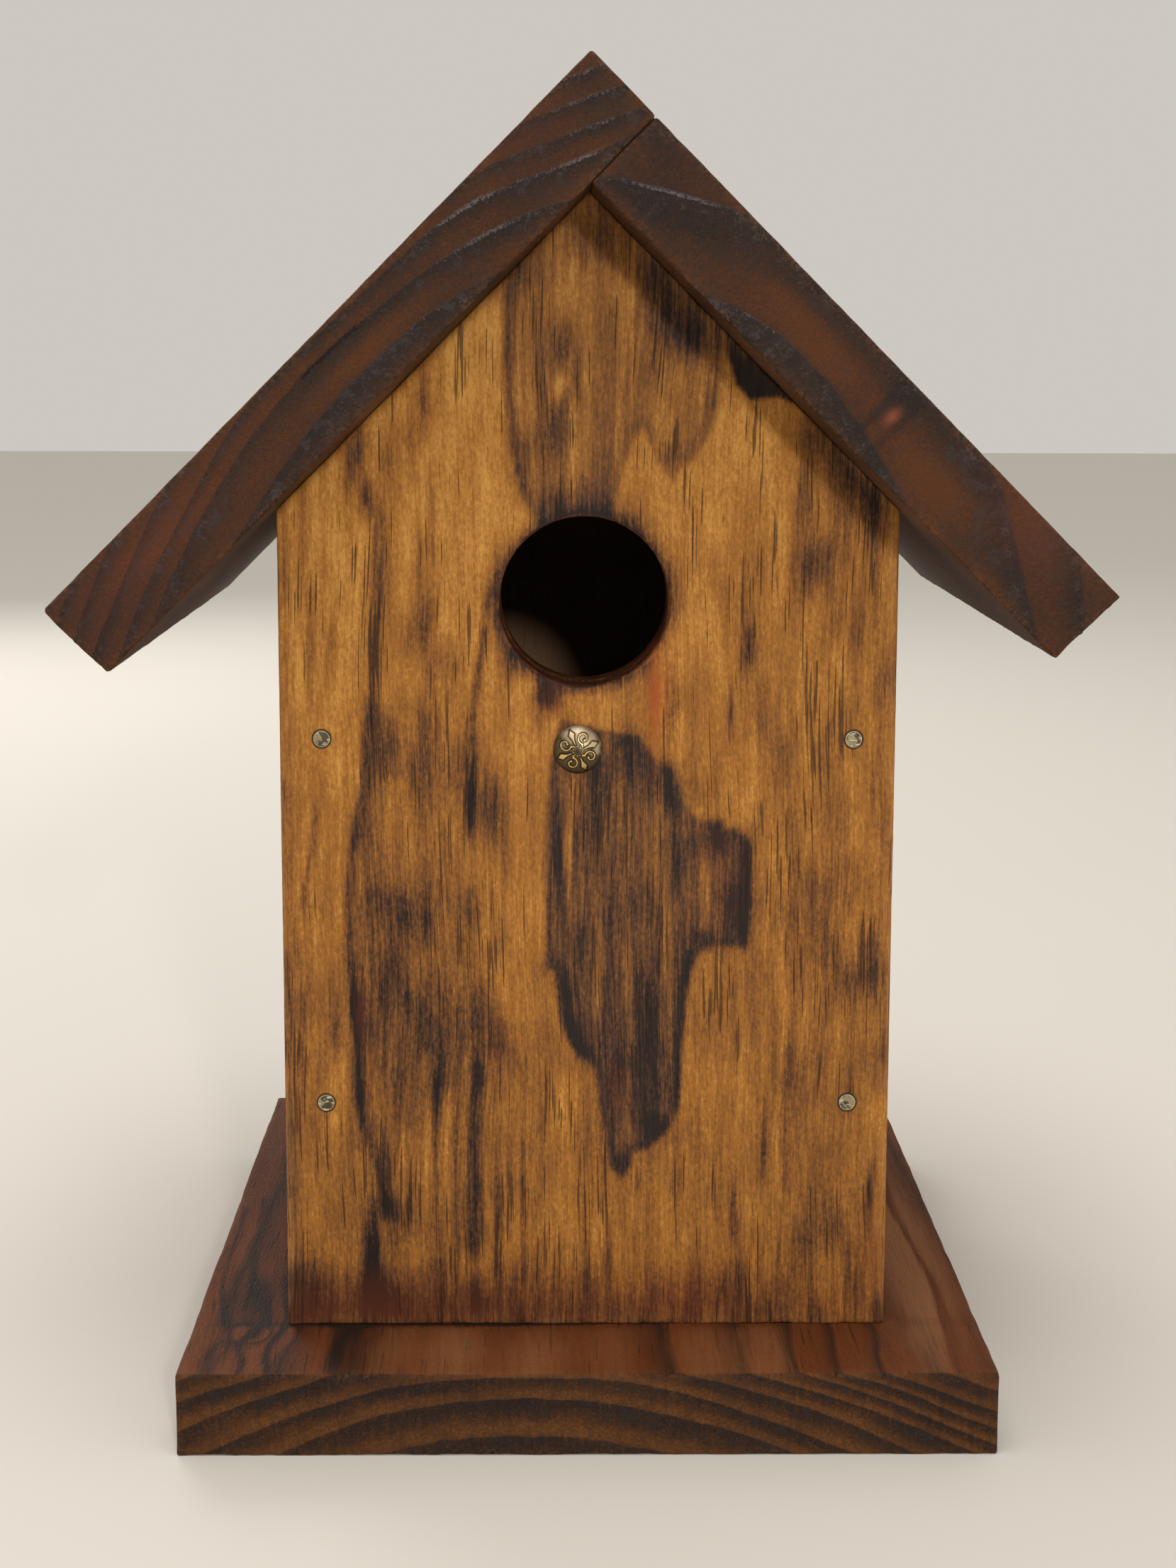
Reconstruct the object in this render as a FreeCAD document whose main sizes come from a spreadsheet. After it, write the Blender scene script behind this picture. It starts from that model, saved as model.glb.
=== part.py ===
import FreeCAD, Part
import Sketcher
import math
import os

# A gabled birdhouse: seven boards of one thickness, nailed together and screwed to the base.
# The front looks along -Y, +Z is up and the origin is the middle of the base's underside.
# The gable is a right angle, so both roof boards lie at 45 degrees and meet square.

SIZES = [
    ("board_thick", 19.05, "planed thickness of every board"),
    ("panel_width", 139.7, "width of the front and back panels"),
    ("wall_height", 190.5, "top of the base to the eave corners of the front and back"),
    ("house_depth", 177.8, "outer face of the front to outer face of the back"),
    ("base_width", 184.15, "base across the front"),
    ("base_depth", 228.6, "base from front to back"),
    ("base_front", 31.75, "base ahead of the front panel"),
    ("roof_left_width", 165.1, "lapping roof board, down its slope"),
    ("roof_right_width", 141.3, "butting roof board, down its slope"),
    ("roof_length", 215.9, "both roof boards, front to back"),
    ("roof_front", 31.75, "roof ahead of the front panel"),
    ("entrance_bore", 38.1, "entrance hole"),
    ("entrance_height", 169.95, "top of the base to the middle of the entrance"),
    ("entrance_shift", 0.9, "entrance left of the middle line"),
    ("entrance_ease", 0.8, "rounding of both rims of the entrance"),
    ("nail_length", 50.8, "finishing nail"),
    ("nail_shank", 2.5, "diameter"),
    ("nail_head", 4.0, "diameter"),
    ("nail_head_thick", 1.2, "flat part of the head"),
    ("nail_head_taper", 1.0, "cone under the head"),
    ("nail_point", 5.0, "length of the point"),
    ("nail_proud", 0.2, "head above the wood"),
    ("nail_below_eave", 51.8, "upper nails of the front and back"),
    ("nail_above_base", 53.7, "lower nails of the front and back"),
    ("roof_nail_clear", 6.0, "points of the upper roof nails from the gable's middle line"),
    ("roof_nail_inset", 22.0, "lower roof nails up the gable from its eave corner"),
    ("ridge_nail_inset", 30.0, "outer ridge nails from the ends of the roof"),
    ("screw_length", 38.1, "base screw"),
    ("screw_shank", 4.2, "diameter"),
    ("screw_head", 8.3, "diameter"),
    ("screw_head_taper", 2.6, "height of the countersunk head"),
    ("screw_point", 6.0, "length of the point"),
    ("screw_sunk", 0.5, "head inside the base's underside"),
    ("screw_slot_length", 4.8, "cross recess, end to end"),
    ("screw_slot_width", 1.1, "cross recess, across one arm"),
    ("screw_slot_depth", 1.8, "cross recess"),
    ("screw_inset", 32.0, "screws from the outer faces of the front and back"),
    ("tack_head", 11.1, "diameter"),
    ("tack_crown", 3.0, "height of the domed head"),
    ("tack_rim", 0.5, "straight rim under the dome"),
    ("tack_shank", 1.8, "diameter"),
    ("tack_length", 12.7, "shank below the head"),
    ("tack_point", 4.0, "length of the point"),
    ("tack_drop", 33.6, "tack below the middle of the entrance"),
    ("tack_shift", 2.3, "tack left of the middle line"),
]

# Places that several pieces share, as formulas on the sheet.
FRONT = "(size.base_front - size.base_depth / 2)"
BACK = "(size.base_front - size.base_depth / 2 + size.house_depth)"
ROOF_FRONT = "(size.base_front - size.base_depth / 2 - size.roof_front)"
RIDGE = "(size.board_thick + size.wall_height + size.panel_width / 2)"
SIDE_MIDDLE = "(size.panel_width / 2 - size.board_thick / 2)"
FRONT_EDGE = "(size.base_front - size.base_depth / 2 + size.board_thick / 2)"
BACK_EDGE = "(size.base_front - size.base_depth / 2 + size.house_depth - size.board_thick / 2)"
GABLE_SLOPE = "(size.panel_width / 2 / cos(45))"
THROUGH_ALL = 1

# A sketch names the points of an edge, and its own axes, by number.
START, END, CENTRE = 1, 2, 3
LEVEL_AXIS, UPRIGHT_AXIS = -1, -2

doc = FreeCAD.newDocument("Birdhouse")
sheet = doc.addObject("Spreadsheet::Sheet", "size")
parts = {}


def fill_sheet():
    """One row for each driving dimension: name, value in millimetres, what it is."""
    for row, (name, number, note) in enumerate(SIZES, start=1):
        sheet.set(f"A{row}", name)
        sheet.set(f"B{row}", str(number))
        sheet.set(f"C{row}", note)
        sheet.setAlias(f"B{row}", name)
    doc.recompute()


def evaluate(formula):
    """The present value of a formula on the sheet, as a plain number."""
    return float(sheet.evalExpression(formula))


def put(thing, across="0", along="0", up="0", axis=(0, 0, 1), angle=0):
    """Turn an object about its own origin and tie its place to formulas."""
    thing.Placement.Rotation = FreeCAD.Rotation(FreeCAD.Vector(*axis), angle)
    thing.setExpression("Placement.Base.x", across)
    thing.setExpression("Placement.Base.y", along)
    thing.setExpression("Placement.Base.z", up)


def new_sketch(body, role, name):
    """An empty sketch on one of the body's own origin planes."""
    sketch = body.newObject("Sketcher::SketchObject", name)
    plane = next(item for item in body.Origin.OriginFeatures if item.Role == role)
    sketch.AttachmentSupport = (plane, [""])
    sketch.MapMode = "FlatFace"
    return sketch


def pin(sketch, edge, point, kind, formula):
    """Tie one coordinate of a sketch point to a formula."""
    if formula == "0":
        axis = UPRIGHT_AXIS if kind == "DistanceX" else LEVEL_AXIS
        sketch.addConstraint(Sketcher.Constraint("PointOnObject", edge, point, axis))
        return
    distance = Sketcher.Constraint(kind, LEVEL_AXIS, START, edge, point, evaluate(formula))
    number = sketch.addConstraint(distance)
    sketch.setExpression(f"Constraints[{number}]", formula)


def draw_outline(body, role, name, corners, domed=False):
    """A closed outline, every corner tied to a pair of formulas.

    Its edges are straight, but a domed one closes with an arc centred on the upright axis."""
    sketch = new_sketch(body, role, name)
    spots = [FreeCAD.Vector(evaluate(across), evaluate(up), 0) for across, up in corners]
    count = len(corners)
    straight = count - 1 if domed else count
    for corner in range(straight):
        sketch.addGeometry(Part.LineSegment(spots[corner], spots[(corner + 1) % count]), False)
    if domed:
        sketch.addGeometry(dome_arc(spots[-1], spots[0]), False)
        level_crown = Sketcher.Constraint("PointOnObject", straight, CENTRE, UPRIGHT_AXIS)
        sketch.addConstraint(level_crown)
    for corner, (across, up) in enumerate(corners):
        following = (corner + 1) % count
        sketch.addConstraint(Sketcher.Constraint("Coincident", corner, END, following, START))
        pin(sketch, corner, START, "DistanceX", across)
        pin(sketch, corner, START, "DistanceY", up)
    return sketch


def dome_arc(rim, crown):
    """The arc from a rim up to a crown on the upright axis, level at the crown."""
    rise = crown.y - rim.y
    radius = (rise ** 2 + rim.x ** 2) / (2 * rise)
    middle = FreeCAD.Vector(0, crown.y - radius, 0)
    circle = Part.Circle(middle, FreeCAD.Vector(0, 0, 1), radius)
    start = math.atan2(rim.y - middle.y, rim.x)
    return Part.ArcOfCircle(circle, start, math.pi / 2)


def pad(body, sketch, length, reverse=False):
    """Thicken an outline into the blank of a board."""
    feature = body.newObject("PartDesign::Pad", "Pad")
    feature.Profile = (sketch, [""])
    feature.setExpression("Length", length)
    feature.Reversed = reverse
    doc.recompute()


def pocket(body, sketch, length=None):
    """Cut a sketch into a body, right through it where no length is given."""
    before = body.Shape.Volume
    feature = body.newObject("PartDesign::Pocket", "Pocket")
    feature.Profile = (sketch, [""])
    if length:
        feature.setExpression("Length", length)
    else:
        feature.Type = THROUGH_ALL
    doc.recompute()
    if body.Shape.Volume >= before:
        raise RuntimeError(f"{body.Label}: the pocket {sketch.Name} cuts nothing")
    return feature


def turn(label, corners, domed=False):
    """A solid of revolution about its own Z axis, from half its section."""
    body = doc.addObject("PartDesign::Body", label)
    body.Label = label
    section = draw_outline(body, "XZ_Plane", "Section", corners, domed)
    feature = body.newObject("PartDesign::Revolution", "Turned")
    feature.Profile = (section, [""])
    feature.ReferenceAxis = (section, ["V_Axis"])
    feature.Angle = 360
    doc.recompute()
    return body


def drill(label, blank, tools):
    """A finished board: its blank less every fastener that is driven into it."""
    driven = doc.addObject("Part::Compound", label + "_fasteners")
    driven.Links = tools
    board = doc.addObject("Part::Cut", label)
    board.Base = blank
    board.Tool = driven
    board.Label = label
    parts[label] = board


def make_base_blank():
    """The base board, lying on its underside."""
    body = doc.addObject("PartDesign::Body", "base_blank")
    left, right = "-size.base_width / 2", "size.base_width / 2"
    front, back = "-size.base_depth / 2", "size.base_depth / 2"
    corners = [(left, front), (right, front), (right, back), (left, back)]
    pad(body, draw_outline(body, "XY_Plane", "Outline", corners), "size.board_thick")
    return body


def make_gable_blank(label, along):
    """A front or back panel: a rectangle under a right-angled gable."""
    body = doc.addObject("PartDesign::Body", label)
    left, right = "-size.panel_width / 2", "size.panel_width / 2"
    eave = "size.wall_height"
    peak = "size.wall_height + size.panel_width / 2"
    corners = [(left, "0"), (right, "0"), (right, eave), ("0", peak), (left, eave)]
    outline = draw_outline(body, "XZ_Plane", "Outline", corners)
    pad(body, outline, "size.board_thick", reverse=True)
    put(body, along=along, up="size.board_thick")
    return body


def bore_entrance(body):
    """The entrance hole through the front panel, with both rims eased."""
    sketch = new_sketch(body, "XZ_Plane", "Entrance")
    middle = FreeCAD.Vector(evaluate("-size.entrance_shift"), evaluate("size.entrance_height"), 0)
    radius = evaluate("size.entrance_bore / 2")
    sketch.addGeometry(Part.Circle(middle, FreeCAD.Vector(0, 0, 1), radius), False)
    size = sketch.addConstraint(Sketcher.Constraint("Radius", 0, radius))
    sketch.setExpression(f"Constraints[{size}]", "size.entrance_bore / 2")
    pin(sketch, 0, CENTRE, "DistanceX", "-size.entrance_shift")
    pin(sketch, 0, CENTRE, "DistanceY", "size.entrance_height")
    bore = pocket(body, sketch)
    rims = [f"Edge{number}" for number, edge in enumerate(bore.Shape.Edges, start=1)
            if isinstance(edge.Curve, Part.Circle)]
    ease = body.newObject("PartDesign::Fillet", "EasedRims")
    ease.Base = (bore, rims)
    ease.setExpression("Radius", "size.entrance_ease")
    doc.recompute()


def make_side_blank(label, sign):
    """A side board between front and back, its top bevelled to lie under the roof."""
    body = doc.addObject("PartDesign::Body", label)
    inner = f"{sign} * (size.panel_width / 2 - size.board_thick)"
    outer = f"{sign} * size.panel_width / 2"
    low, high = "size.wall_height", "size.wall_height + size.board_thick"
    corners = [(inner, "0"), (outer, "0"), (outer, low), (inner, high)]
    outline = draw_outline(body, "XZ_Plane", "Outline", corners)
    pad(body, outline, "size.house_depth - 2 * size.board_thick", reverse=True)
    put(body, along=FRONT + " + size.board_thick", up="size.board_thick")
    return body


def make_roof_blank(label, start, end, angle):
    """A roof board: flat in its own frame, then tilted about the ridge line."""
    body = doc.addObject("PartDesign::Body", label)
    corners = [(start, "0"), (end, "0"), (end, "size.roof_length"), (start, "size.roof_length")]
    pad(body, draw_outline(body, "XY_Plane", "Outline", corners), "size.board_thick")
    put(body, along=ROOF_FRONT, up=RIDGE, axis=(0, 1, 0), angle=angle)
    return body


def make_nail(label, across, along, up, axis, angle):
    """A finishing nail; its head is at its origin and its point down its own -Z."""
    head, shank = "size.nail_head / 2", "size.nail_shank / 2"
    neck = "-(size.nail_head_thick + size.nail_head_taper)"
    corners = [
        ("0", "0"), (head, "0"), (head, "-size.nail_head_thick"), (shank, neck),
        (shank, "-(size.nail_length - size.nail_point)"), ("0", "-size.nail_length")]
    nail = turn(label, corners)
    put(nail, across, along, up, axis, angle)
    parts[label] = nail
    return nail


def nail_panel(label, face, sign):
    """Four nails through a front or back panel into the edges of the side boards."""
    heights = ["size.board_thick + size.wall_height - size.nail_below_eave",
               "size.board_thick + size.nail_above_base"]
    places = [(side, height) for height in heights for side in ("-", "")]
    along = f"{face} + {sign} * size.nail_proud"
    return [make_nail(f"{label}_nail_{number}", side + SIDE_MIDDLE, along, height, (1, 0, 0), -90 * sign)
            for number, (side, height) in enumerate(places, start=1)]


def nail_roof(label, side):
    """Four nails through a roof board into the slanted edges of front and back."""
    slopes = ["size.nail_length - size.board_thick + size.roof_nail_clear",
              GABLE_SLOPE + " - size.roof_nail_inset"]
    lift = "(size.board_thick + size.nail_proud) * cos(45)"  # out through the board
    nails = []
    for along in (FRONT_EDGE, BACK_EDGE):
        for slope in slopes:
            across = f"{side} * (({slope}) * cos(45) + {lift})"
            up = f"{RIDGE} - ({slope}) * cos(45) + {lift}"
            name = f"{label}_nail_{len(nails) + 1}"
            nails.append(make_nail(name, across, along, up, (0, 1, 0), 45 * side))
    return nails


def nail_ridge():
    """Three nails through the lapping roof board into the end of the butting one."""
    across = "-(size.board_thick / 2 + size.nail_proud) * cos(45)"
    up = f"{RIDGE} + (size.board_thick / 2 + size.board_thick + size.nail_proud) * cos(45)"
    places = [ROOF_FRONT + " + size.ridge_nail_inset",
              ROOF_FRONT + " + size.roof_length / 2",
              ROOF_FRONT + " + size.roof_length - size.ridge_nail_inset"]
    return [make_nail(f"ridge_nail_{number}", across, along, up, (0, 1, 0), -45)
            for number, along in enumerate(places, start=1)]


def make_screw(label, across, along):
    """A countersunk screw driven upwards, and the hole that its head and shank need."""
    head, shank = "size.screw_head / 2", "size.screw_shank / 2"
    tail = [(shank, "-size.screw_head_taper"), (shank, "-(size.screw_length - size.screw_point)"),
            ("0", "-size.screw_length")]
    screw = turn(label, [("0", "0"), (head, "0")] + tail)
    cut_cross(screw)
    hole = turn(label + "_hole", [("0", "size.screw_sunk"), (head, "size.screw_sunk"), (head, "0")] + tail)
    for thing in (screw, hole):
        put(thing, across, along, "size.screw_sunk", (1, 0, 0), 180)
    parts[label] = screw
    return hole


def cut_cross(screw):
    """The cross recess in a screw's head."""
    arm, half = "size.screw_slot_length / 2", "size.screw_slot_width / 2"
    quarter = [(arm, half), (half, half), (half, arm)]
    corners = list(quarter)
    corners += [("-" + across, up) for across, up in reversed(quarter)]
    corners += [("-" + across, "-" + up) for across, up in quarter]
    corners += [(across, "-" + up) for across, up in reversed(quarter)]
    pocket(screw, draw_outline(screw, "XY_Plane", "Cross", corners), "size.screw_slot_depth")


def make_screws():
    """Four screws through the base into the bottom edges of the side boards."""
    rows = [FRONT + " + size.screw_inset", BACK + " - size.screw_inset"]
    places = [(side + SIDE_MIDDLE, along) for along in rows for side in ("-", "")]
    return [make_screw(f"base_screw_{number}", across, along)
            for number, (across, along) in enumerate(places, start=1)]


def make_tack():
    """The domed ornamental tack under the entrance, driven along +Y."""
    head, shank = "size.tack_head / 2", "size.tack_shank / 2"
    corners = [
        ("0", "size.tack_crown"), ("0", "-size.tack_length"),
        (shank, "-(size.tack_length - size.tack_point)"), (shank, "0"),
        (head, "0"), (head, "size.tack_rim")]
    tack = turn("brass_tack", corners, domed=True)
    height = "size.board_thick + size.entrance_height - size.tack_drop"
    put(tack, "-size.tack_shift", FRONT, height, (1, 0, 0), 90)
    parts["brass_tack"] = tack
    return tack


def build():
    """Every fastener, then every board less the fasteners driven into it."""
    front_nails = nail_panel("front", FRONT, -1)
    back_nails = nail_panel("back", BACK, 1)
    left_nails = nail_roof("roof_left", -1)
    right_nails = nail_roof("roof_right", 1)
    ridge_nails = nail_ridge()
    screw_holes = make_screws()
    tack = make_tack()
    front_blank = make_gable_blank("front_panel_blank", FRONT)
    bore_entrance(front_blank)
    drill("front_panel", front_blank, front_nails + left_nails[:2] + right_nails[:2] + [tack])
    back_blank = make_gable_blank("back_panel_blank", BACK + " - size.board_thick")
    drill("back_panel", back_blank, back_nails + left_nails[2:] + right_nails[2:])
    for first, (name, sign) in enumerate([("left_side", -1), ("right_side", 1)]):
        driven = front_nails[first::2] + back_nails[first::2] + screw_holes[first::2]
        drill(name, make_side_blank(name + "_blank", sign), driven)
    left_blank = make_roof_blank("roof_left_blank", "size.board_thick - size.roof_left_width",
                                 "size.board_thick", -45)
    drill("roof_left", left_blank, left_nails + ridge_nails)
    right_blank = make_roof_blank("roof_right_blank", "0", "size.roof_right_width", 45)
    drill("roof_right", right_blank, right_nails + ridge_nails)
    drill("base_board", make_base_blank(), screw_holes)
    doc.recompute()


def check():
    """Stop on any failed feature, and on a part that isn't one valid solid."""
    for thing in doc.Objects:
        if "Invalid" in thing.State or "Error" in thing.State:
            raise RuntimeError(f"{thing.Label}: {thing.State}")
    for name, part in parts.items():
        shape = part.Shape
        if shape.isNull() or not shape.isValid() or len(shape.Solids) != 1:
            raise RuntimeError(f"{name}: not one valid solid")


def export():
    """Write one file for each piece."""
    os.makedirs("parts", exist_ok=True)
    for name, part in parts.items():
        part.Shape.exportStep(f"parts/{name}.step")
        box = part.Shape.BoundBox
        print(f"{name}: volume {part.Shape.Volume:.0f}, z {box.ZMin:.2f} to {box.ZMax:.2f}")


fill_sheet()
build()
check()
export()
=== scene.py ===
import bpy
import math
import numpy as np
from mathutils import Euler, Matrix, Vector


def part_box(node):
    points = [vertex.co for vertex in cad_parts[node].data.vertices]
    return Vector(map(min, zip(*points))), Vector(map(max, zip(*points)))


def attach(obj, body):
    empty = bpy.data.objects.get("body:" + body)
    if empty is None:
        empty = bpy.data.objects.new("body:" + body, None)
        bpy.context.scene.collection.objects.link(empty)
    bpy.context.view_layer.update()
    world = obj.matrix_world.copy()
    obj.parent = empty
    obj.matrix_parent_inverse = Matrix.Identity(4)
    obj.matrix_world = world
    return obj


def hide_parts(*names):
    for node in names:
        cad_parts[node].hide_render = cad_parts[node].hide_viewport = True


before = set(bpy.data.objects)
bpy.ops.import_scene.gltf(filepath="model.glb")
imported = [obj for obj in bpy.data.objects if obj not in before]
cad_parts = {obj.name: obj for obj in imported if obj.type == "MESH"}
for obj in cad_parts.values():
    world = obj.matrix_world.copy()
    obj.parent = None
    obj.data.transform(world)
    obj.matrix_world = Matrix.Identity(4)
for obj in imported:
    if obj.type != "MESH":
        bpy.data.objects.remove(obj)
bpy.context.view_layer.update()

# Shapes are worked out in millimetres and put into metres as they enter a mesh.
mm = 0.001
slopeCos = math.sqrt(0.5)  # the roof boards lie at 45 degrees


def nodeBox(name):
    low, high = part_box(name)
    return np.array(low) / mm, np.array(high) / mm


# Camera, lights and floor: places are in metres, the camera's in millimetres, and angles in degrees

cameraSettings = {
    "place": (-7.48, -692.93, 244.67), "lens": 62.42, "down": 9.05, "right": 0.706, "roll": 0.148,
    "clip": (0.02, 20.0)}
lightSettings = {
    "key": {"place": (0.226, -1.61, 0.60), "aim": (0.0, -0.08, 0.17), "size": 0.11, "power": 9.2,
            "tint": (1.0, 0.95, 0.88)},
    "top": {"place": (-0.1, -0.5, 1.9), "aim": (0.0, 0.0, 0.1), "size": 1.3, "power": 14.0,
            "tint": (1.0, 0.98, 0.95)},
    "back": {"place": (-0.7, 1.5, 0.9), "aim": (0.0, 0.0, 0.15), "size": 0.9, "power": 9.0,
             "tint": (1.0, 0.97, 0.93)}}
stageSettings = {
    "floorHalf": 6.0, "floorColour": (0.72, 0.69, 0.64), "floorShade": (0.62, 0.6, 0.57), "floorPatches": 2.0,
    "worldColour": (0.80, 0.76, 0.70), "worldStrength": 0.76}


def makeCamera():
    data = bpy.data.cameras.new("camera")
    data.lens = cameraSettings["lens"]
    data.clip_start, data.clip_end = cameraSettings["clip"]
    camera = bpy.data.objects.new("camera", data)
    camera.location = Vector(cameraSettings["place"]) * mm
    turn = Euler((math.radians(90 - cameraSettings["down"]), 0, -math.radians(cameraSettings["right"])))
    turn.rotate_axis("Z", math.radians(cameraSettings["roll"]))
    camera.rotation_euler = turn
    bpy.context.scene.collection.objects.link(camera)
    bpy.context.scene.camera = camera


def makeLights():
    for name, light in lightSettings.items():
        data = bpy.data.lights.new(name, "AREA")
        data.shape = "DISK"
        data.size = light["size"]
        data.energy = light["power"]
        data.color = light["tint"]
        lamp = bpy.data.objects.new(name, data)
        lamp.location = light["place"]
        aim = Vector(light["aim"]) - Vector(light["place"])
        lamp.rotation_euler = aim.to_track_quat("-Z", "Y").to_euler()
        bpy.context.scene.collection.objects.link(lamp)


def makeStage(floorMaterial):
    half = stageSettings["floorHalf"]
    mesh = bpy.data.meshes.new("floor")
    corners = [(-half, -half, 0), (half, -half, 0), (half, half, 0), (-half, half, 0)]
    mesh.from_pydata(corners, [], [(0, 1, 2, 3)])
    mesh.materials.append(floorMaterial)
    floor = bpy.data.objects.new("floor", mesh)
    bpy.context.scene.collection.objects.link(floor)
    world = bpy.data.worlds.new("studio")
    world.use_nodes = True
    sky = world.node_tree.nodes["Background"]
    sky.inputs["Color"].default_value = (*stageSettings["worldColour"], 1)
    sky.inputs["Strength"].default_value = stageSettings["worldStrength"]
    bpy.context.scene.world = world
    bpy.context.scene.view_settings.view_transform = "Standard"


makeCamera()
makeLights()
print("camera and lights in place")

# Shader maths: arithmetic on a Flow adds the Math node that does it


class Flow:
    def __init__(self, shader, socket):
        self.shader, self.socket = shader, socket

    def __add__(self, other):
        return self.shader.maths("ADD", self, other)

    def __sub__(self, other):
        return self.shader.maths("SUBTRACT", self, other)

    def __rsub__(self, other):
        return self.shader.maths("SUBTRACT", other, self)

    def __mul__(self, other):
        return self.shader.maths("MULTIPLY", self, other)

    def __pow__(self, other):
        return self.shader.maths("POWER", self, other)

    __radd__ = __add__
    __rmul__ = __mul__


patternTurn = (0.5, 0.3, 0.7)


class Shader:
    def __init__(self, name):
        self.material = bpy.data.materials.new(name)
        self.material.use_nodes = True
        self.tree = self.material.node_tree
        self.surface = self.tree.nodes["Principled BSDF"]

    # one node of any type: settings first, then the values or links of its sockets
    def node(self, kind, settings=None, sockets=None, output=0):
        made = self.tree.nodes.new(kind)
        for key, value in (settings or {}).items():
            if key == "stops":
                self.setStops(made.color_ramp, value)
            else:
                setattr(made, key, value)
        for key, value in (sockets or {}).items():
            self.feed(made.inputs[key], value)
        return Flow(self, made.outputs[output])

    def feed(self, socket, value):
        if isinstance(value, Flow):
            self.tree.links.new(value.socket, socket)
        else:
            isColour = socket.type == "RGBA" and len(value) == 3
            socket.default_value = (*value, 1) if isColour else value  # a colour of three parts is opaque

    def setStops(self, ramp, stops):
        while len(ramp.elements) < len(stops):
            ramp.elements.new(0.5)
        for element, (place, colour) in zip(ramp.elements, stops):
            element.position = place
            element.color = (*colour, 1) if len(colour) == 3 else colour

    def maths(self, operation, *values):
        return self.node("ShaderNodeMath", {"operation": operation}, dict(enumerate(values)))

    def attribute(self, name, output=2):
        return self.node("ShaderNodeAttribute", {"attribute_name": name}, output=output)

    # the object's own coordinates, in millimetres
    def millimetres(self):
        place = self.node("ShaderNodeTexCoord", output=3)
        return self.node("ShaderNodeVectorMath", {"operation": "SCALE"}, {0: place, "Scale": 1 / mm})

    # a smooth 0 to 1 step of a value between two edges
    def step(self, value, low, high):
        return self.node("ShaderNodeMapRange", {"interpolation_type": "SMOOTHSTEP"},
                         {"Value": value, "From Min": low, "From Max": high})

    def mix(self, factor, first, second):
        return self.node("ShaderNodeMix", {"data_type": "RGBA", "clamp_factor": True},
                         {0: factor, 6: first, 7: second}, output=2)

    # noise stretched along the axes of a vector in millimetres; stretch is cycles per millimetre, and the
    # pattern is turned so that it never lines up with a board
    def noise(self, where, stretch, shift=(0, 0, 0), detail=2.0, rough=0.5):
        placed = self.node("ShaderNodeMapping", {}, {"Vector": where, "Location": shift, "Scale": stretch,
                                                     "Rotation": patternTurn})
        return self.node("ShaderNodeTexNoise", {},
                         {"Vector": placed, "Scale": 1.0, "Detail": detail, "Roughness": rough})

    # one noise for each row of a table: stretch, shift, detail and roughness
    def layers(self, where, table):
        return {name: self.noise(where, *row) for name, row in table.items()}

    def bump(self, height, distance):
        return self.node("ShaderNodeBump", {}, {"Height": height, "Distance": distance, "Strength": 1.0})

    def finish(self, **sockets):
        for key, value in sockets.items():
            self.feed(self.surface.inputs[key.replace("_", " ")], value)
        return self.material


def tint(red, green, blue):
    # the linear colour of a display colour from 0 to 255: straight up to 10, then a power of 2.4
    parts = np.array([red, green, blue], float)
    return tuple(np.where(parts > 10, ((parts / 255 + 0.055) / 1.055) ** 2.4, parts / 3294).tolist())


# Block surfaces: the outer faces of a lattice of cells, shaped as whole arrays

def spaced(low, high, step, ease, fixed=()):
    # lattice lines from low to high: close together along both eased edges, even between, and through fixed
    stops = [low + ease, *fixed, high - ease]
    runs = [np.linspace(a, b, max(1, round((b - a) / step)), endpoint=False)
            for a, b in zip(stops, stops[1:])]
    return np.concatenate([[low, low + 0.4 * ease], *runs, [high - ease, high - 0.4 * ease, high]])


def blockFaces(columns, rows, layers, hole=None):
    # quads over the six sides of a columns x rows x layers block, and round a hole cut through the layers
    def number(i, j, k):
        return (i * (rows + 1) + j) * (layers + 1) + k

    def side(makeIndex, countA, countB, flip, keep=None):
        a, b = np.meshgrid(np.arange(*countA), np.arange(*countB), indexing="ij")
        if keep is not None:
            chosen = keep(a, b)
            a, b = a[chosen], b[chosen]
        a, b = a.ravel(), b.ravel()
        corners = (a, b), (a + 1, b), (a + 1, b + 1), (a, b + 1)
        quads = np.stack([makeIndex(*corner) for corner in corners], axis=1)
        return quads[:, ::-1] if flip else quads

    across, along, through = (0, columns), (0, rows), (0, layers)
    solid = None
    if hole:
        left, right, bottom, top = hole
        solid = lambda a, b: ~((a >= left) & (a < right) & (b >= bottom) & (b < top))
    faces = [
        side(lambda a, b: number(a, b, layers), across, along, False, solid),
        side(lambda a, b: number(a, b, 0), across, along, True, solid),
        side(lambda a, b: number(a, 0, b), across, through, False),
        side(lambda a, b: number(a, rows, b), across, through, True),
        side(lambda a, b: number(columns, a, b), along, through, False),
        side(lambda a, b: number(0, a, b), along, through, True)]
    if hole:
        faces += [
            side(lambda a, b: number(left, a, b), (bottom, top), through, False),
            side(lambda a, b: number(right, a, b), (bottom, top), through, True),
            side(lambda a, b: number(a, top, b), (left, right), through, False),
            side(lambda a, b: number(a, bottom, b), (left, right), through, True)]
    quads = np.concatenate(faces)
    used, quads = np.unique(quads, return_inverse=True)
    quads = quads.reshape(-1, 4)
    k = used % (layers + 1)
    j = used // (layers + 1) % (rows + 1)
    i = used // (layers + 1) // (rows + 1)
    return i, j, k, quads


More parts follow.
